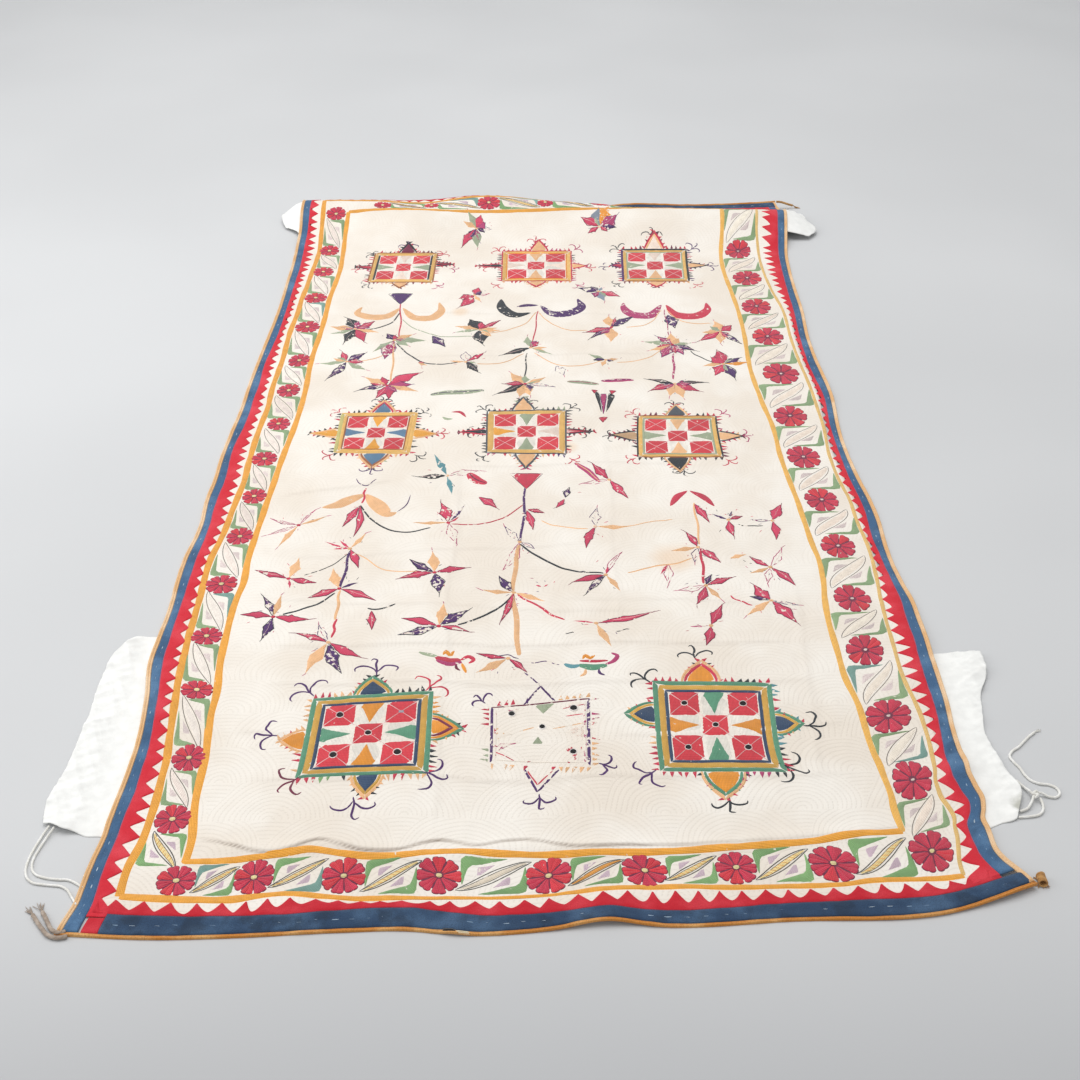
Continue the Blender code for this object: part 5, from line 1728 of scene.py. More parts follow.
STEMS = read_lines("""
night 3.6 | -356 -269, -331 -321, -286 -353, -252 -358, -216 -346;
crimson 3 | -174 -332, -116 -334, -74 -313, -36 -269;
peach 2.2 | -361 -419, -334 -440, -303 -470, -258 -483, -230 -486;
night 1.6 | -362 -426, -391 -466, -435 -492;
purple 5 | -361 -419, -362 -473, -365 -532;
night 4 | -372 -544, -400 -578, -433 -596, -464 -611;
peach 5 | -365 -538, -364 -588, -363 -624;
crimson 4.5 | -363 -624, -365 -672;
night 3.6 | -311 -593, -287 -596, -261 -580;
night 4.2 | -148 -641, -107 -618, -73 -587, -52 -553;
purple 5 | -32 -208, -34 -276, -40 -392;
night 4.4 | -40 -398, -13 -437, 32 -471, 68 -486, 112 -494;
peach 8 | -43 -402, -51 -486, -53 -544;
peach 9 | -53 -550, -49 -612, -45 -671, -42 -723;
crimson 4.6 | -44 -552, -18 -581, 16 -613, 37 -630;
peach 2.4 | -1 -323, 34 -343, 91 -350;
peach 1.6 | 162 -345, 210 -331, 258 -320;
crimson 4.4 | -354 -212, -354 -261;
peach 4 | 305 -265, 304 -335, 302 -406;
night 2.4 | 384 -339, 407 -345, 433 -343;
peach 3.2 | 283 -449, 249 -467, 204 -475, 157 -493;
crimson 5 | 302 -422, 299 -475, 295 -527;
crimson 3.6 | 337 -564, 349 -581, 372 -595;
purple 1.8 | -22 -742, -1 -740, 27 -748;
night 1.4 | 124 -665, 150 -656;
night 1.4 | 37 -669, 54 -665;
purple 2 | -86 -722, -64 -721, -42 -730;
open 2 | -376 -176, -355 -204, -334 -176;
crimson 3.6 | -357 603, -348 500, -343 428;
night 4 | -353 557, -374 500, -415 472, -447 468;
palegreen 2.6 | -344 522, -306 466, -249 433, -164 431;
peach 2.4 | -121 448, -73 466, -36 493, -5 557;
peach 4.4 | -352 401, -346 307, -340 217;
night 3.6 | -346 399, -309 337, -270 307, -213 300, -189 307;
peach 2.4 | -358 358, -390 325, -425 315;
peach 2.6 | -147 300, -91 302, -35 348;
crimson 3 | -1 565, -7 488, -15 391;
peach 2.4 | 1 558, 37 488, 84 461, 120 461;
night 3.2 | -29 349, -32 275, -34 211;
peach 2.6 | -11 353, 51 286, 121 295, 150 309;
peach 2.2 | 184 300, 254 318, 304 372;
magenta 2.6 | 316 565, 318 488, 320 432;
peach 2.2 | 216 476, 265 488, 310 565;
peach 2.6 | 323 565, 356 501, 397 491, 427 491;
magenta 5 | 323 344, 317 275, 311 225;
night 3 | 365 358, 388 323, 420 300
""")
CRESCENTS = read_lines("""
peach 25 | -352 -231, -377 -248, -405 -269, -432 -278;
peach 30 | -350 -231, -324 -269, -295 -299, -285 -293;
open 9 | -285 -293, -268 -269, -261 -231;
peach 20 | -356 580, -389 536, -428 534, -463 557, -455 587;
peach 20 | -349 580, -311 528, -273 528, -250 562, -257 610;
night 22 | -20 552, -60 541, -91 575, -97 628;
purple 10 | 0 593, -30 593, -56 585;
purple 22 | 5 591, 38 547, 80 552, 108 583, 100 628;
magenta 22 | 310 591, 273 534, 237 541, 215 578, 215 604;
crimson 22 | 322 591, 349 534, 394 529, 424 565, 424 601;
crimson 14 | 296 -223, 276 -241, 257 -276;
crimson 14 | 301 -223, 323 -241, 345 -276;
crimson 8 | -195 86, -177 86, -162 64;
palegreen 8 | -214 66, -205 57, -190 57
""")
WEAR = {"peach": 0.10, "rose": 0.34, "purple": 0.36, "night": 0.26, "magenta": 0.36}
PETAL_EDGES = {
    "rose": "wine", "crimson": "wine", "purple": "night", "magenta": "purple", "night": "black",
}


def add_petal(work, root, direction, length, wide, thread, wear):
    """A pointed petal, widest past its middle, with a darker edge and a light vein."""
    t = np.linspace(0.0, 1.0, 12)
    wide = wide * (1 - 0.30 * abs(math.sin(math.radians(direction))))
    swell = np.where(t < 0.46, (t / 0.46) ** 0.95, ((1 - t) / 0.54) ** 1.30)
    bend = chance.uniform(-0.06, 0.06) * length
    turn = math.radians(direction)
    middle = np.stack([t * length, bend * np.sin(np.pi * t)], -1)
    aside = np.stack([0 * t, swell * wide / 2], -1)
    ragged = 1 + chance.uniform(-0.20, 0.16, (2, len(t), 1))  # lost and wandering stitches
    one = turn_by(middle + aside * ragged[0], turn) + np.array(root)
    two = turn_by(middle - aside * ragged[1], turn) + np.array(root)
    if thread == "crimson":
        thread = "rose"
    if length > 0.045 and chance.random() < 0.6:
        tip = (one[-1] + two[-1]) / 2
        away = turn_by([1.0, chance.uniform(-0.5, 0.5)], turn) * chance.uniform(0.006, 0.013)
        whisker = smooth_line([tip - away * 0.3, tip + away * 0.5, tip + away], 0.003)
        color = PETAL_EDGES.get(thread, "magenta")
        add_stroke(work, whisker, np.linspace(0.0020, ROW_HIGH, len(whisker)), color, 0.0007, 2, 0.2)
    if thread == "open":
        edge = "purple" if chance.random() < 0.5 else "magenta"
        for side in (one, two):
            add_stroke(work, side, 0.0018, edge, 0.0007, 2, 0.45)
        add_stroke(work, (one + two)[2:-2] / 2, 0.0014, "magenta", 0.0006, 2, 0.60)
        return
    add_band(work, one, two, thread, PATCH_HIGH, 5, wear)
    edge = PETAL_EDGES.get(thread)
    if edge and wide > 0.010:
        for side in (one, two):
            add_stroke(work, side, 0.0016, edge, ROW_HIGH, 2, 0.30, base=0.0003)
        if chance.random() < 0.7:
            vein = (one + two)[2:-1] / 2
            add_stroke(work, vein, 0.0014, "pink", 0.0008, 2, 0.40, base=0.0009)


flower_field = start_work()
chance = np.random.default_rng(12)
for thread, wide, points in STEMS:
    line = smooth_line(points, 0.005)
    t = np.linspace(0.0, 1.0, len(line))
    sway = 0.0016 * np.sin(t * 9 + len(points))
    line = line + sway[:, None]
    width = wide * 0.001 * (0.75 + 0.35 * np.sin(np.pi * np.clip(t, 0, 1)) ** 0.5)
    if thread == "open":
        thread = "purple"
    add_stroke(flower_field, line, np.maximum(width, 0.0016), thread, ROW_HIGH, 3,
               WEAR.get(thread, 0.25) + 0.04)
for thread, wide, points in CRESCENTS:
    line = smooth_line(points, 0.006)
    t = np.linspace(0.0, 1.0, len(line))
    wide = wide * (0.00135 if points[0][1] > 0.1 else 0.0010)  # the far ones are fuller
    width = wide * np.sin(np.pi * np.clip(t * 0.96 + 0.02, 0, 1)) ** 0.8
    if thread == "open":
        thread = "purple"
        width = width * 0.25
    add_stroke(flower_field, line, width, thread, PATCH_HIGH, 5, WEAR.get(thread, 0.2))
for u, v, petals in FLOWERS:
    bushy = v > 0.1  # the far flowers are fuller, with short petals between the long ones
    for thread, direction, length, wide in petals:
        foot = turn_by([0.003, 0.0], math.radians(direction)) + np.array([u, v])
        wear = WEAR.get(thread, 0.20) + chance.uniform(-0.10, 0.16)
        wide = wide * (0.00150 if bushy else 0.00110)
        add_petal(flower_field, foot, direction, length * 0.001, wide, thread, wear)
        if bushy and chance.random() < 0.6:
            short = str(chance.choice(["purple", "crimson", "magenta", "palegreen", "peach"]))
            between = direction + chance.choice((-36, 36))
            add_petal(flower_field, foot, between, length * 0.0006, wide * 0.9, short, wear)
        for _ in range(2):  # loose ends and the tips of lost petals
            beside = direction + chance.uniform(-38, 38)
            leaning = beside + chance.uniform(-60, 60)
            at = turn_by([chance.uniform(0.009, 0.042), 0.0], math.radians(beside)) + [u, v]
            end = turn_by([chance.uniform(0.004, 0.010), 0.0], math.radians(leaning))
            speck = np.array([at, at + end / 2, at + end])
            thread = str(chance.choice(["purple", "crimson", "night", "magenta", "crimson"]))
            add_stroke(flower_field, speck, np.array([0.0018, 0.0014, 0.0008]), thread, 0.0007, 2)
    if len(petals) > 2:
        heart = "peach" if petals[0][0] != "peach" else "crimson"
        add_disc(flower_field, np.array([u, v]), 0.0042, heart, 0.0014, 0.2)
sew("flowering_stems", flower_field)

# ------------------------------------------------------------------ the small field motifs
# Cups under two of the stems, a narrow vase, five fish-like bars and two small birds fill the
# ground between the squares.

small_work = start_work()
chance = np.random.default_rng(5)
# cups and the petals of the vase: thread and wear, then the three corners
CUPS = read_lines("""
crimson 0.22 | -64 -158, 4 -158, -30 -214;
purple 0.20 | -394 660, -328 660, -357 600;
night 0.25 | 124 168, 134 160, 137 80;
magenta 0.22 | 136 155, 152 155, 141 70;
night 0.25 | 156 160, 170 150, 148 80;
crimson 0.20 | 118 176, 132 172, 124 160;
crimson 0.20 | 158 172, 174 170, 163 156;
crimson 0.25 | 130 58, 150 58, 139 36
""")
for thread, wear, corners in CUPS:
    add_polygon(small_work, corners, thread, PATCH_HIGH, wear, rows=8)
    loop = np.array([*corners, corners[0]])
    for k in range(3):
        piece = np.linspace(loop[k], loop[k + 1], 6)
        add_stroke(small_work, piece, 0.0018, PETAL_EDGES.get(thread, "night"), ROW_HIGH, 2, 0.25)
# fish-like bars: the thread of the body and of its middle, and the width
BARS = read_lines("""
palegreen+purple 13 | -246 160, -215 168, -170 172, -126 178;
palegreen+magenta 11 | 64 213, 95 210, 136 200;
magenta+purple 10 | 142 214, 180 218, 218 220;
crimson+wine 16 | -148 -154, -132 -180, -110 -194;
magenta+peach 10 | 72 -120, 98 -150, 120 -190
""")
for threads, wide, points in BARS:
    line = smooth_line(points, 0.005)
    t = np.linspace(0.0, 1.0, len(line))
    body, middle = threads.split("+")
    width = wide * 0.001 * (0.35 + 0.65 * np.sin(np.pi * t) ** 0.7)
    add_stroke(small_work, line, width * 1.4, body, 0.0010, 5, 0.30)
    add_stroke(small_work, line, width * 0.50, middle, 0.0008, 2, 0.40, base=0.0009)
# the parts of two birds: thread and width in mm, then the places along each
BIRDS = read_lines("""
palegreen 5 | -214 -716, -196 -722, -180 -728;
crimson 9 | -186 -728, -162 -737, -142 -733;
magenta 7 | -184 -736, -160 -744, -140 -738;
crimson 4.6 | -142 -734, -128 -724, -120 -732, -128 -742;
orange 4.2 | -172 -722, -168 -712, -160 -722, -154 -710;
orange 3.6 | -140 -742, -136 -754, -132 -766;
wine 3 | -150 -744, -148 -756, -142 -760;
teal 6 | 34 -748, 48 -756, 62 -752;
green 8.5 | 58 -752, 82 -760, 106 -754;
crimson 4.2 | 60 -742, 84 -744, 108 -742;
magenta 4.6 | 104 -752, 118 -742, 124 -728, 114 -722;
orange 4 | 66 -738, 70 -728, 78 -736, 86 -728;
peach 3.4 | 70 -764, 68 -776, 60 -782;
purple 3 | 92 -764, 94 -776, 102 -780
""")
for thread, wide, points in BIRDS:
    line = smooth_line(points, 0.004)
    t = np.linspace(0.0, 1.0, len(line))
    wide = 0.0016 * wide * (0.5 + 0.6 * np.sin(np.pi * t))
    add_stroke(small_work, line, wide, thread, 0.0010, 3, 0.22)
sew("small_field_motifs", small_work)

# ------------------------------------------------------------------ running stitches
# Coarse pale running stitches hold the blue binding: one row along each strip. A thin plum
# line lies where the blue meets the red.

dash_work = start_work()
chance = np.random.default_rng(3)
for side in SIDES:
    start, end = strip_run(side)
    at = start + 0.012
    while at < end - 0.02:
        near_run = side in ("near", "far")
        long = chance.uniform(0.008, 0.015) if near_run else chance.uniform(0.006, 0.010)
        line = np.linspace(at, at + long, 5)
        middle = (BLUE_OUTER + blue_end(side, line)) / 2 + chance.uniform(-0.0012, 0.0018)
        if chance.random() < 0.85:
            pale = chance.choice(["#9DB2C6", "#B9C8D4", "#7F9AB4"])
            wide = 0.0017 if near_run else 0.0023
            add_stroke(dash_work, edge_line(side, line, middle), wide, str(pale), 0.0003,
                       base=BLUE_FULL - GROUND_THICK - 0.0005)
        at += long + chance.uniform(0.010, 0.017) * (1.0 if near_run else 0.6)
    if side == "near":
        start, end = -0.634, 0.636
    if side in ("left", "right"):
        start = NEAR_EDGE + 0.045
    along = np.linspace(start, end, round((end - start) / 0.006))
    seam = blue_end(side, along) + (0.0002 if side == "near" else 0.0008)
    seam = seam + 0.0003 * np.sin(along * 90)
    wide, color = (0.0011, "#6E3A55") if side == "near" else (0.0038, "#AE5C80")
    add_stroke(dash_work, edge_line(side, along, seam), wide, color, 0.0005,
               base=BLUE_FULL - GROUND_THICK - 0.0002)
sew("running_stitches", dash_work)

# ------------------------------------------------------------------ the piping's groove
# Painted shade: a thin dark brown line runs along the groove beside the piping's cord. Near
# the left of the near edge two lengths of piping meet; a pale dot and a black patch of painted shadow mark
# the gap.

piping_shade_work = start_work()
# Painted shade: a thin dark brown line along the groove between the cord and its fold.
for side in ("near", "left", "right"):
    start, end = strip_run(side)
    along = np.linspace(start, end, round((end - start) / 0.010))
    inset = 0.0036 + 0.0002 * np.sin(along * 70)
    groove = edge_line(side, along, inset)
    add_stroke(piping_shade_work, groove, 0.0012, "#80502A", 0.0003, base=-0.0006)
# where two lengths of piping meet: a pale dot, and a black patch of painted shadow in the gap
for u_from, u_to, at, wide, color in (
    (-0.128, -0.108, 0.0026, 0.0044, "#EBD9B4"),
    (-0.146, -0.128, 0.0044, 0.0050, "#1D1A19"),
):
    bare = [(u, NEAR_EDGE + at) for u in np.linspace(u_from, u_to, 6)]
    add_stroke(piping_shade_work, bare, wide, color, 0.0012, 3, 0.0, base=0.0018)
sew("piping_groove", piping_shade_work)

# ------------------------------------------------------------------ the two white sleeves
# Bands of bleached cotton sewn across the back for hanging. Their loose ends stick out at
# both sides, crumpled, with narrow hems; the near one is stained at its right end.

BAND_THICK = 0.0012
# y, x
BAND_LEFT_END = places("-1072 -748, -1035 -755, -950 -745, -830 -739, -700 -739, -654 -732, -619 -705")
# y, x
BAND_RIGHT_END = places(
    "-1072 704, -1020 724, -965 716, -898 707, -846 704,"
    "-792 713, -743 722, -705 738, -665 746"
)
# x, near side y, far side y
BAND_NEAR_SIDES = places(
    "-755 -1044 -640, -720 -1058 -622, -600 -1080 -617, 0 -1085 -640, 600 -1078 -668, 690 -1052 -668,"
    "755 -1020 -668"
)
# x, y, half width, half length, height
BAND_RIPPLES = places(
    "-720 -1062 22 20 9, -735 -860 30 30 4, -720 -650 30 40 5,"
    "735 -700 25 40 6, 725 -1000 20 30 6"
)
BAND_FREE_FROM = 0.679
FREE_COLUMNS = np.linspace(0.0, 1.0, 30)
COVERED_COLUMNS = np.linspace(0.0, 0.66, 12)
BAND_ROWS = 150
FAR_BAND_ROWS = (0.975, 1.139)
FAR_BAND_ENDS = {
    # share from the near to the far side, x of the free end, shift away in y, all in mm
    -1: places("0 -684 84, 400 -696 58, 800 -700 26, 1000 -690 4"),
    1: places("0 728 -6, 150 751 0, 300 754.5 0, 500 739 0, 800 735 12, 1000 716 24"),
}
FAR_BAND_DROOP = 0.75
FAR_BAND_GAP = 0.0006


def crumple(x, y, size):
    """Soft crossing folds of thin washed cotton, mostly square to the sleeve's free end."""
    height = np.zeros_like(x)
    for k in range(16):
        turn = 1.25 + 0.9 * math.sin(k * 2.1)
        wave = 34.0 + 15.0 * k
        along = x * math.cos(turn) + y * math.sin(turn)
        fold = np.sin(wave * along + 2.2 * np.sin(13 * x + 1.7 * k) + k)
        height = height + size / (1 + 0.35 * k) * (1 - np.abs(fold)) ** 2
    return height


def make_near_sleeve():
    first, last = BAND_LEFT_END[0][0], BAND_LEFT_END[-1][0]
    top = []
    for share in np.linspace(0.0, 1.0, BAND_ROWS):
        left = read_table(BAND_LEFT_END, 1, first + (last - first) * share)
        right = read_table(BAND_RIGHT_END, 1, first + (last - first) * share)
        left_end = -BAND_FREE_FROM + (left + BAND_FREE_FROM) * FREE_COLUMNS
        right_end = BAND_FREE_FROM + (right - BAND_FREE_FROM) * FREE_COLUMNS
        x = np.concatenate([left_end[::-1], -COVERED_COLUMNS[:0:-1], COVERED_COLUMNS, right_end])
        near = read_table(BAND_NEAR_SIDES, 1, x)
        far = read_table(BAND_NEAR_SIDES, 2, x)
        y = near + (far - near) * share
        y = y + 0.0016 * np.sin(x * 160 + share * 3) * (share < 0.02)
        free = soft_step(BAND_FREE_FROM, BAND_FREE_FROM + 0.030, np.abs(x))
        z = (bumps(BAND_RIPPLES, x, y) + crumple(x, y, 0.0022)) * free
        edge = np.minimum(share, 1 - share) * (last - first)
        hem = 0.0006 * (np.abs(edge - 0.012) < 0.0022)
        z = z + 0.0004 * free + hem * free
        top.append(np.stack([x, y, z], -1))
    top = np.array(top)
    bottom = top.copy()
    top[..., 2] += BAND_THICK
    return closed_sheet("white_sleeve_near", top, bottom, top[..., :2])


def make_far_sleeve():
    inner = HALF_WIDTH - 0.004
    across = np.linspace(-inner, inner, 60)
    along = np.linspace(*FAR_BAND_ROWS, 40)
    u, v = np.meshgrid(across, along)
    middle = on_cloth(u, v, -FAR_BAND_GAP, crumpled=False)
    under = on_cloth(u, v, -FAR_BAND_GAP - BAND_THICK, crumpled=False)
    top_parts, bottom_parts = [middle], [under]
    for side, ends in FAR_BAND_ENDS.items():
        column = 0 if side < 0 else -1
        edge_top, edge_bottom = middle[:, column], under[:, column]
        ends_top, ends_bottom = [], []
        rows = np.linspace(0.0, 1.0, len(along))
        tip = read_table(ends, 1, rows)
        away = read_table(ends, 2, rows)
        for share in np.linspace(0.05, 1.0, 20):
            low = edge_bottom.copy()
            low[:, 0] += (tip - edge_top[:, 0]) * share
            low[:, 1] += away * share**0.4
            low[:, 2] *= 1 - FAR_BAND_DROOP * share**1.5
            low[:, 2] += crumple(low[:, 0], low[:, 1], 0.0024) * share
            ends_top.append(low + (edge_top - edge_bottom))
            ends_bottom.append(low)
        order = slice(None, None, -1) if side < 0 else slice(None)
        place = 0 if side < 0 else len(top_parts)
        top_parts.insert(place, np.stack(ends_top[order], axis=1))
        bottom_parts.insert(place, np.stack(ends_bottom[order], axis=1))
    top = np.concatenate(top_parts, axis=1)
    bottom = np.concatenate(bottom_parts, axis=1)
    return closed_sheet("white_sleeve_far", top, bottom, top[..., :2])


def white_cotton_material():
    """Bleached plain-woven cotton: matt white, stained."""
    material, shader = cotton_material("bleached_cotton", 0.90, 0.10)
    calc = partial(math_node, material)
    place = cloth_place(material)
    soft = noise(material, place, 46.0, 5.0)
    slub = noise(material, place, 640.0, 2.0)
    height = calc("MULTIPLY_ADD", slub, 0.0002, 0.0)
    height = calc("MULTIPLY_ADD", soft, 0.0016, height)
    add_bump(material, shader, height, 1.0, 0.7)
    color = blend_colors(material, soft, "#EDEDEA", "#F5F5F2", 0.35, 0.65)
    spot = distance_to(material, place, 0.722, -1.022)
    spot = calc("MULTIPLY_ADD", soft, 0.030, spot)
    spot = smooth_range(material, spot, 0.040, 0.024)
    color = mix_color(material, calc("MULTIPLY", spot, 0.75), color, "#A9A99B")
    link(material, color, shader, "Base Color")
    return material


white_cotton = white_cotton_material()
for sleeve, node, flat in (
    (make_near_sleeve(), "back_band_near", (1.470, 0.440)),
    (make_far_sleeve(), "back_band_far", (1.480, 0.170)),
):
    sleeve.data.materials.append(white_cotton)
    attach(sleeve, "root")
    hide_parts(node)

# ------------------------------------------------------------------ the ties
# White cotton tapes at the near sleeve's ends and short grey-brown and tan cords at three
# corners of the cloth. They are three-strand twists with loose, frayed ends, lying as dropped.

TAPE_THICK = 0.0036
CORD_THICK = 0.0042
TAIL_THICK = 0.0062
TIE_LEFT_OUTER = places(
    "-737.3 -1051.8 5, -743.7 -1070.7 3, -748 -1090 2, -750.5 -1106 2, -751 -1122 2, -749 -1137 2,"
    "-743 -1149 2, -733 -1157 2, -720 -1160 2, -704 -1162 2, -691 -1164 2, -681 -1170 2,"
    "-671.9 -1181.9 2, -661.1 -1197.2 2"
)
TIE_LEFT_INNER = places(
    "-728.9 -1055 6, -735.9 -1074.8 3.7, -741.5 -1096 2, -744 -1110 2, -743.5 -1123 2, -740 -1134 2,"
    "-733 -1142 2, -722 -1147 2, -709 -1150 2, -696 -1151.5 2, -685 -1152 2, -672.7 -1157.4 2,"
    "-659.3 -1166.6 2"
)
KNOT_PLACE = (0.7420, -1.0030, 0.0082)
TIE_RIGHT_LONG = places(
    "711.2 -1033.4 3, 723.9 -1027.9 3.6, 733.5 -1016.5 6, 742 -1003 8.2, 753 -998.5 6, 764 -1003 3,"
    "775 -1004 2.3, 783 -996 2.3, 781.5 -985 2.3, 772 -978 2.3, 759 -975.5 2.3, 747.5 -969 2.3,"
    "741 -957 2.3, 737.5 -942 2.3, 731.5 -929 2.3, 728.5 -917 2.3, 735 -906 2.3, 748 -896 2.3,"
    "760 -884 2.3, 772 -872 2.3, 784 -862 2.3"
)
TIE_RIGHT_SHORT = places("723.3 -968.4 3, 728 -977 3.2, 731.5 -985 4.4, 737.6 -996.8 7.1")
TIE_RIGHT_LOOP = places(
    "748.5 -1008.5 6.2, 750 -1020 3.2, 747 -1031 2.3,"
    "739 -1039 2.3, 725.4 -1042.5 2.3, 706 -1044.2 2.3"
)
TAIL_NEAR_LEFT_A = places(
    "-658.6 -1252 3.3, -672.8 -1254.6 3.3, -686 -1250 3.3, -696 -1240 3.3, -707 -1227 3.3,"
    "-717 -1214 3.3"
)
TAIL_NEAR_LEFT_B = places(
    "-662.6 -1244 3.3, -673.5 -1246 3.3, -684 -1240 3.3,"
    "-691 -1230 3.3, -698 -1219 3.3, -705 -1209 3.3"
)
TAIL_FAR_RIGHT = places("669.2 1238.5 22, 682.5 1240.1 20, 695 1241 16, 706 1242 12, 718 1244 8")
CORNER_KNOT_PLACE = (0.7044, -1.1660, 0.0064)


def tube(route, radius, strands=3, twist=0.018, depth=0.16, sides=15):
    """Points and faces of a twisted cord along a route: its strands show as ridges."""
    route = np.asarray(route, float)
    ahead = np.gradient(route, axis=0)
    ahead = ahead / np.linalg.norm(ahead, axis=1)[:, None]
    run = np.concatenate([[0.0], np.cumsum(np.linalg.norm(np.diff(route, axis=0), axis=1))])
    aside = np.cross(ahead, [0.0, 0.0, 1.0])
    aside = aside / np.maximum(np.linalg.norm(aside, axis=1), 1e-6)[:, None]
    up = np.cross(aside, ahead)
    turns = np.linspace(0, 2 * math.pi, sides, endpoint=False)
    swing = turns[None, :] - 2 * math.pi * run[:, None] / twist
    ridge = np.abs(np.cos(strands * swing / 2))
    size = radius * (1 - depth * (1 - ridge))
    size[0] *= 0.55
    size[-1] *= 0.55
    points = (
        route[:, None]
        + aside[:, None] * (np.cos(turns)[None, :] * size)[..., None]
        + up[:, None] * (np.sin(turns)[None, :] * size)[..., None]
    )
    faces = []
    rows = len(route)
    for row in range(rows - 1):
        for k in range(sides):
            after = (k + 1) % sides
            a, b = row * sides, (row + 1) * sides
            faces.append([a + k, a + after, b + after, b + k])
    faces.append(list(range(sides))[::-1])
    faces.append([(rows - 1) * sides + k for k in range(sides)])
    coords = np.stack([np.broadcast_to(run[:, None], swing.shape),
                       np.broadcast_to(turns[None, :] * radius, swing.shape)], -1)
    return points.reshape(-1, 3), faces, coords.reshape(-1, 2)


def join_tubes(name, tubes):
    points, faces, coords, count = [], [], [], 0
    for places, quads, flat in tubes:
        points.append(places)
        coords.append(flat)
        faces += [[k + count for k in quad] for quad in quads]
        count += len(places)
    return mesh_object(name, np.concatenate(points), faces, np.concatenate(coords))


def fray(end, ahead, spread, length, count, thick):
    """Loose yarn ends that splay from the tip of a cord and settle on the surface."""
    tubes = []
    ahead = np.array(ahead, float) / np.linalg.norm(ahead)
    aside = np.cross(ahead, [0.0, 0.0, 1.0])
    for _ in range(count):
        swing = chance.uniform(-spread, spread)
        long = length * chance.uniform(0.6, 1.1)
        curl = chance.uniform(-0.4, 0.4)
        t = np.linspace(0.0, 1.0, 7)[:, None]
        path = np.array(end) + ahead * t * long + aside * (swing * t + curl * t**2 * 0.5) * long
        drop = (end[2] - thick * 0.6) * np.clip(t[:, 0] * 1.3, 0, 1)
        path[:, 2] = np.maximum(end[2] - drop + chance.uniform(0, 0.0012), thick * 0.6)
        tubes.append(tube(path, thick / 2, strands=1, depth=0.0, sides=5))
    return tubes


def yarn_material(name, fresh, dull, dark):
    """Soft spun cotton yarn: matt, fuzzy, greyed where it was handled."""
    material, shader = cotton_material(name, 0.90, 0.20)
    calc = partial(math_node, material)
    place = cloth_place(material)
    stretched = add_node(
        material, "ShaderNodeVectorMath", {"operation": "MULTIPLY"}, i0=place, i1=(300, 1400, 1)
    ).outputs[0]
    fibre = noise(material, stretched, 1.0, 3.0)
    patch = noise(material, place, 60.0, 3.0)
    color = blend_colors(material, patch, dull, fresh, 0.40, 0.60)
    deep = smooth_range(material, fibre, 0.46, 0.30)
    color = mix_color(material, calc("MULTIPLY", deep, 0.5), color, dark)
    link(material, color, shader, "Base Color")
    add_bump(material, shader, fibre, 0.0006, 0.7)
    return material


white_yarn = yarn_material("white_cotton_tape", "#F6F5F1", "#E9E7E0", "#C9C6BD")
taupe_yarn = yarn_material("grey_brown_cord", "#B9AA9C", "#A08F80", "#6F6054")
tan_yarn = yarn_material("tan_cord", "#C99A5E", "#B08048", "#7A5228")
chance = np.random.default_rng(21)
TIES = [
    # node, route, thickness, slot, yarn, far end, frayed ends, in length and count
    ("tie_left_outer", TIE_LEFT_OUTER, TAPE_THICK, "white_tape", white_yarn, "object", 0),
    ("tie_left_inner", TIE_LEFT_INNER, TAPE_THICK, "white_tape", white_yarn, "object", 0),
    ("tie_right_long", TIE_RIGHT_LONG, CORD_THICK, "white_cord", white_yarn, "bare", 9),
    ("tie_right_short", TIE_RIGHT_SHORT, CORD_THICK, "white_cord", white_yarn, "object", 0),
    ("tie_right_loop", TIE_RIGHT_LOOP, CORD_THICK, "white_cord", white_yarn, "object", 0),
    ("tail_near_left_a", TAIL_NEAR_LEFT_A, TAIL_THICK, "taupe_cord", taupe_yarn, "bare", 10),
    ("tail_near_left_b", TAIL_NEAR_LEFT_B, TAIL_THICK, "taupe_cord", taupe_yarn, "bare", 10),
    ("tail_far_right", TAIL_FAR_RIGHT, TAIL_THICK, "tan_cord", tan_yarn, "bare", 12),
]
for node, route, thick, slot, yarn, far_end, fibres in TIES:
    line = smooth_line(route, 0.0012)
    tie = join_tubes(node + "_cord", [tube(line, thick * 0.51, twist=thick * 4.2)])
    tie.data.materials.append(yarn)
    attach(tie, "root")
    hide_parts(node)
    if fibres:
        ends = fray(line[-1], line[-1] - line[-5], 0.45, thick * 3.2, fibres, thick * 0.16)
        loose = join_tubes(node + "_fray", ends)
        loose.data.materials.append(yarn)
        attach(loose, "root")
    length = float(np.linalg.norm(np.diff(line, axis=0), axis=1).sum())

# ------------------------------------------------------------------ the knots
# The two right hand ties are knotted together, and the end of the piping is wound and frayed
# round the near right corner.

KNOT_RING = 0.0050
KNOT_TURN = 0.0022
turns = np.linspace(0.0, 2 * math.pi, 90)
knot_line = np.stack(
    [
        (np.sin(turns) + 2 * np.sin(2 * turns)) * KNOT_RING / 2.6,
        (np.cos(turns) - 2 * np.cos(2 * turns)) * KNOT_RING / 2.6,
        -np.sin(3 * turns) * KNOT_TURN * 1.1,
    ],
    -1,
)
knot_line = knot_line + np.array(KNOT_PLACE)
knot = join_tubes("tie_knot", [tube(knot_line, KNOT_TURN, twist=0.016)])
knot.data.materials.append(white_yarn)
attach(knot, "root")
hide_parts("tie_right_knot")

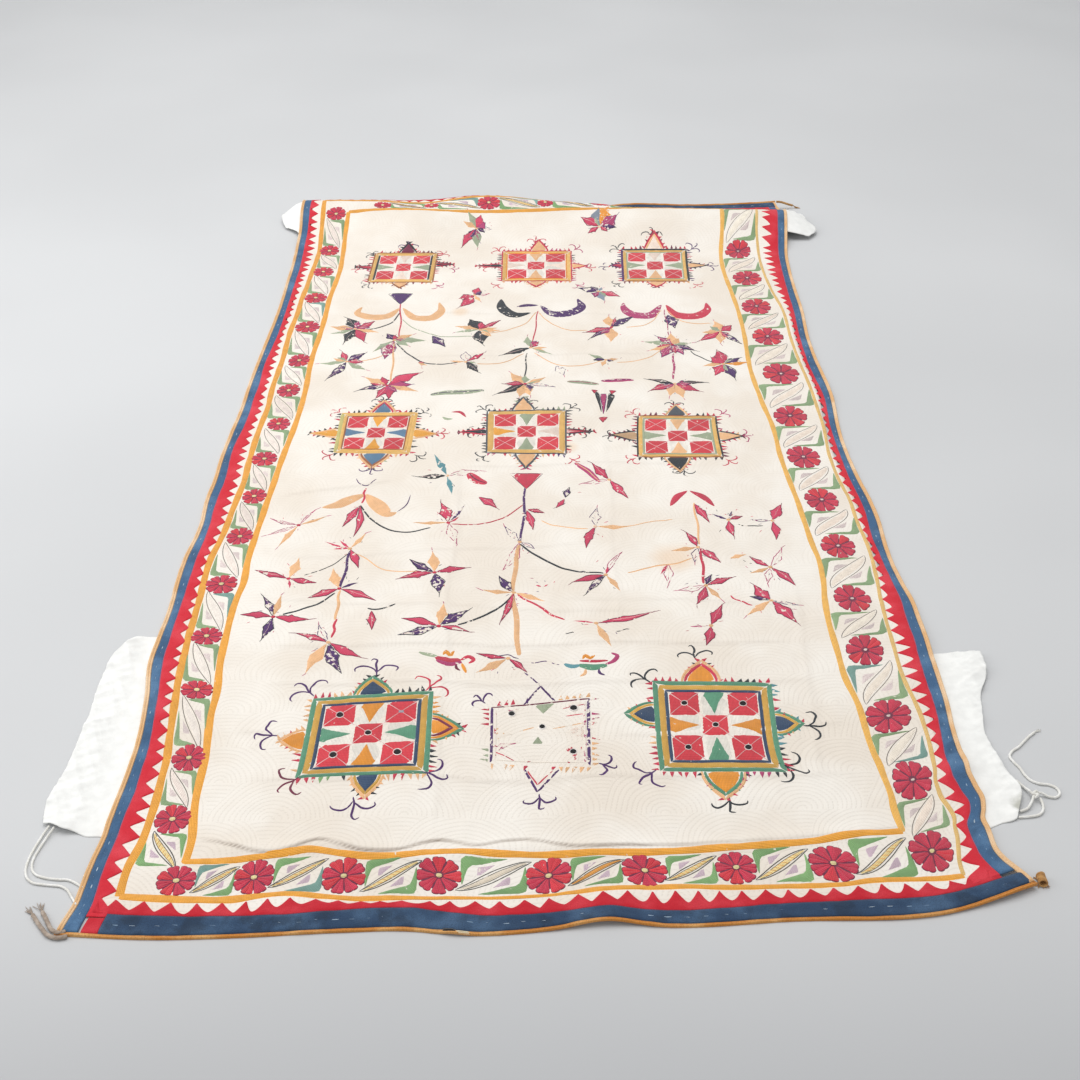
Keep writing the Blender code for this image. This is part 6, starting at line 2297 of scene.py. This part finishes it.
corner = np.array(CORNER_KNOT_PLACE)
tubes = []
for k in range(9):
    swing = np.linspace(0.0, 2 * math.pi * 1.04, 26) + k
    lean = chance.uniform(-0.5, 0.5)
    wrap = np.stack(
        [
            0.0058 * np.cos(swing),
            -0.0072 + 0.0018 * k + 0.0020 * np.sin(swing + lean),
            0.0046 * np.sin(swing),
        ],
        -1,
    )
    tubes.append(tube(corner + wrap, 0.0013, twist=0.008, sides=7))
for angle in (-150, -120, -75, -40, 20, 60, 95, 140):
    way = np.array([math.cos(math.radians(angle)), math.sin(math.radians(angle)), 0.0])
    start = corner + way * 0.003 + np.array([0.0, 0.0, -0.0015])
    tubes += fray(start, way, 0.35, 0.010, 3, 0.0009)
corner_knot = join_tubes("corner_knot", tubes)
corner_knot.data.materials.append(tan_yarn)
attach(corner_knot, "root")
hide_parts("corner_knot_near_right")

# ------------------------------------------------------------------ the floor, light and camera
# A seamless pale grey studio floor that rises far behind the cloth, lit softly from above and
# behind, and seen from eye level, 1.58 m above the floor.

FLOOR = "#CACBCC"
# the painted shade of the floor's near part
FLOOR_NEAR_SHADE = "#B3B4B6"
sweep = []
for x in (-6.0, 6.0):
    for y, z in ((-4.0, 0.0), (4.2, 0.0), (4.6, 0.06), (5.0, 0.25), (5.3, 0.7), (5.4, 3.0)):
        sweep.append((x, y, z))
floor_faces = [[k, 6 + k, 7 + k, 1 + k] for k in range(5)]
floor = mesh_object("studio_floor", sweep, floor_faces)
floor_paint = bpy.data.materials.new("matt_studio_paper")
floor_paint.use_nodes = True
floor_shader = floor_paint.node_tree.nodes["Principled BSDF"]
floor_shader.inputs["Roughness"].default_value = 0.85
floor_place = add_node(floor_paint, "ShaderNodeTexCoord").outputs["Object"]
cloud = noise(floor_paint, floor_place, 0.9, 2.0)
paper = blend_colors(floor_paint, cloud, FLOOR, "#D0D1D2", 0.3, 0.7)
across = add_node(floor_paint, "ShaderNodeSeparateXYZ", i0=floor_place).outputs[1]
near_shade = smooth_range(floor_paint, across, -1.05, -1.75)  # painted shade: the floor grows darker towards the near side
paper = mix_color(floor_paint, near_shade, paper, FLOOR_NEAR_SHADE)
link(floor_paint, paper, floor_shader, "Base Color")
floor.data.materials.append(floor_paint)

LIGHTS = [
    # name, place, aims at, width, height, power in watts
    ("overhead_softbox", (-0.5, 1.4, 5.2), (-0.1, 0.9, 0.0), 4.6, 5.0, 200.0),
    ("window_left", (-3.2, -0.3, 2.0), (-0.6, 0.0, 0.0), 2.0, 2.4, 38.0),
    ("near_fill", (0.8, -3.8, 3.0), (0.1, -0.8, 0.0), 2.6, 2.0, 4.0),
]
for name, place, target, wide, high, power in LIGHTS:
    lamp = bpy.data.lights.new(name, "AREA")
    lamp.shape = "RECTANGLE"
    lamp.size, lamp.size_y = wide, high
    lamp.energy = power
    holder = bpy.data.objects.new(name, lamp)
    bpy.context.scene.collection.objects.link(holder)
    holder.location = place
    aim = Vector(target) - Vector(place)
    holder.rotation_euler = aim.to_track_quat("-Z", "Y").to_euler()
world = bpy.data.worlds.new("soft_room")
bpy.context.scene.world = world
world.use_nodes = True
world.node_tree.nodes["Background"].inputs[0].default_value = (0.95, 0.955, 0.96, 1.0)
world.node_tree.nodes["Background"].inputs[1].default_value = 0.50

lens = bpy.data.cameras.new("photo_camera")
lens.lens = 47.0
lens.sensor_width = 36.0
camera = bpy.data.objects.new("photo_camera", lens)
bpy.context.scene.collection.objects.link(camera)
camera.location = (-0.021, -2.498, 1.58)
camera.rotation_euler = (math.radians(53.9), 0.0, math.radians(-0.46))
bpy.context.scene.camera = camera
bpy.context.scene.view_settings.view_transform = "Standard"  # a plain, undistorted colour range
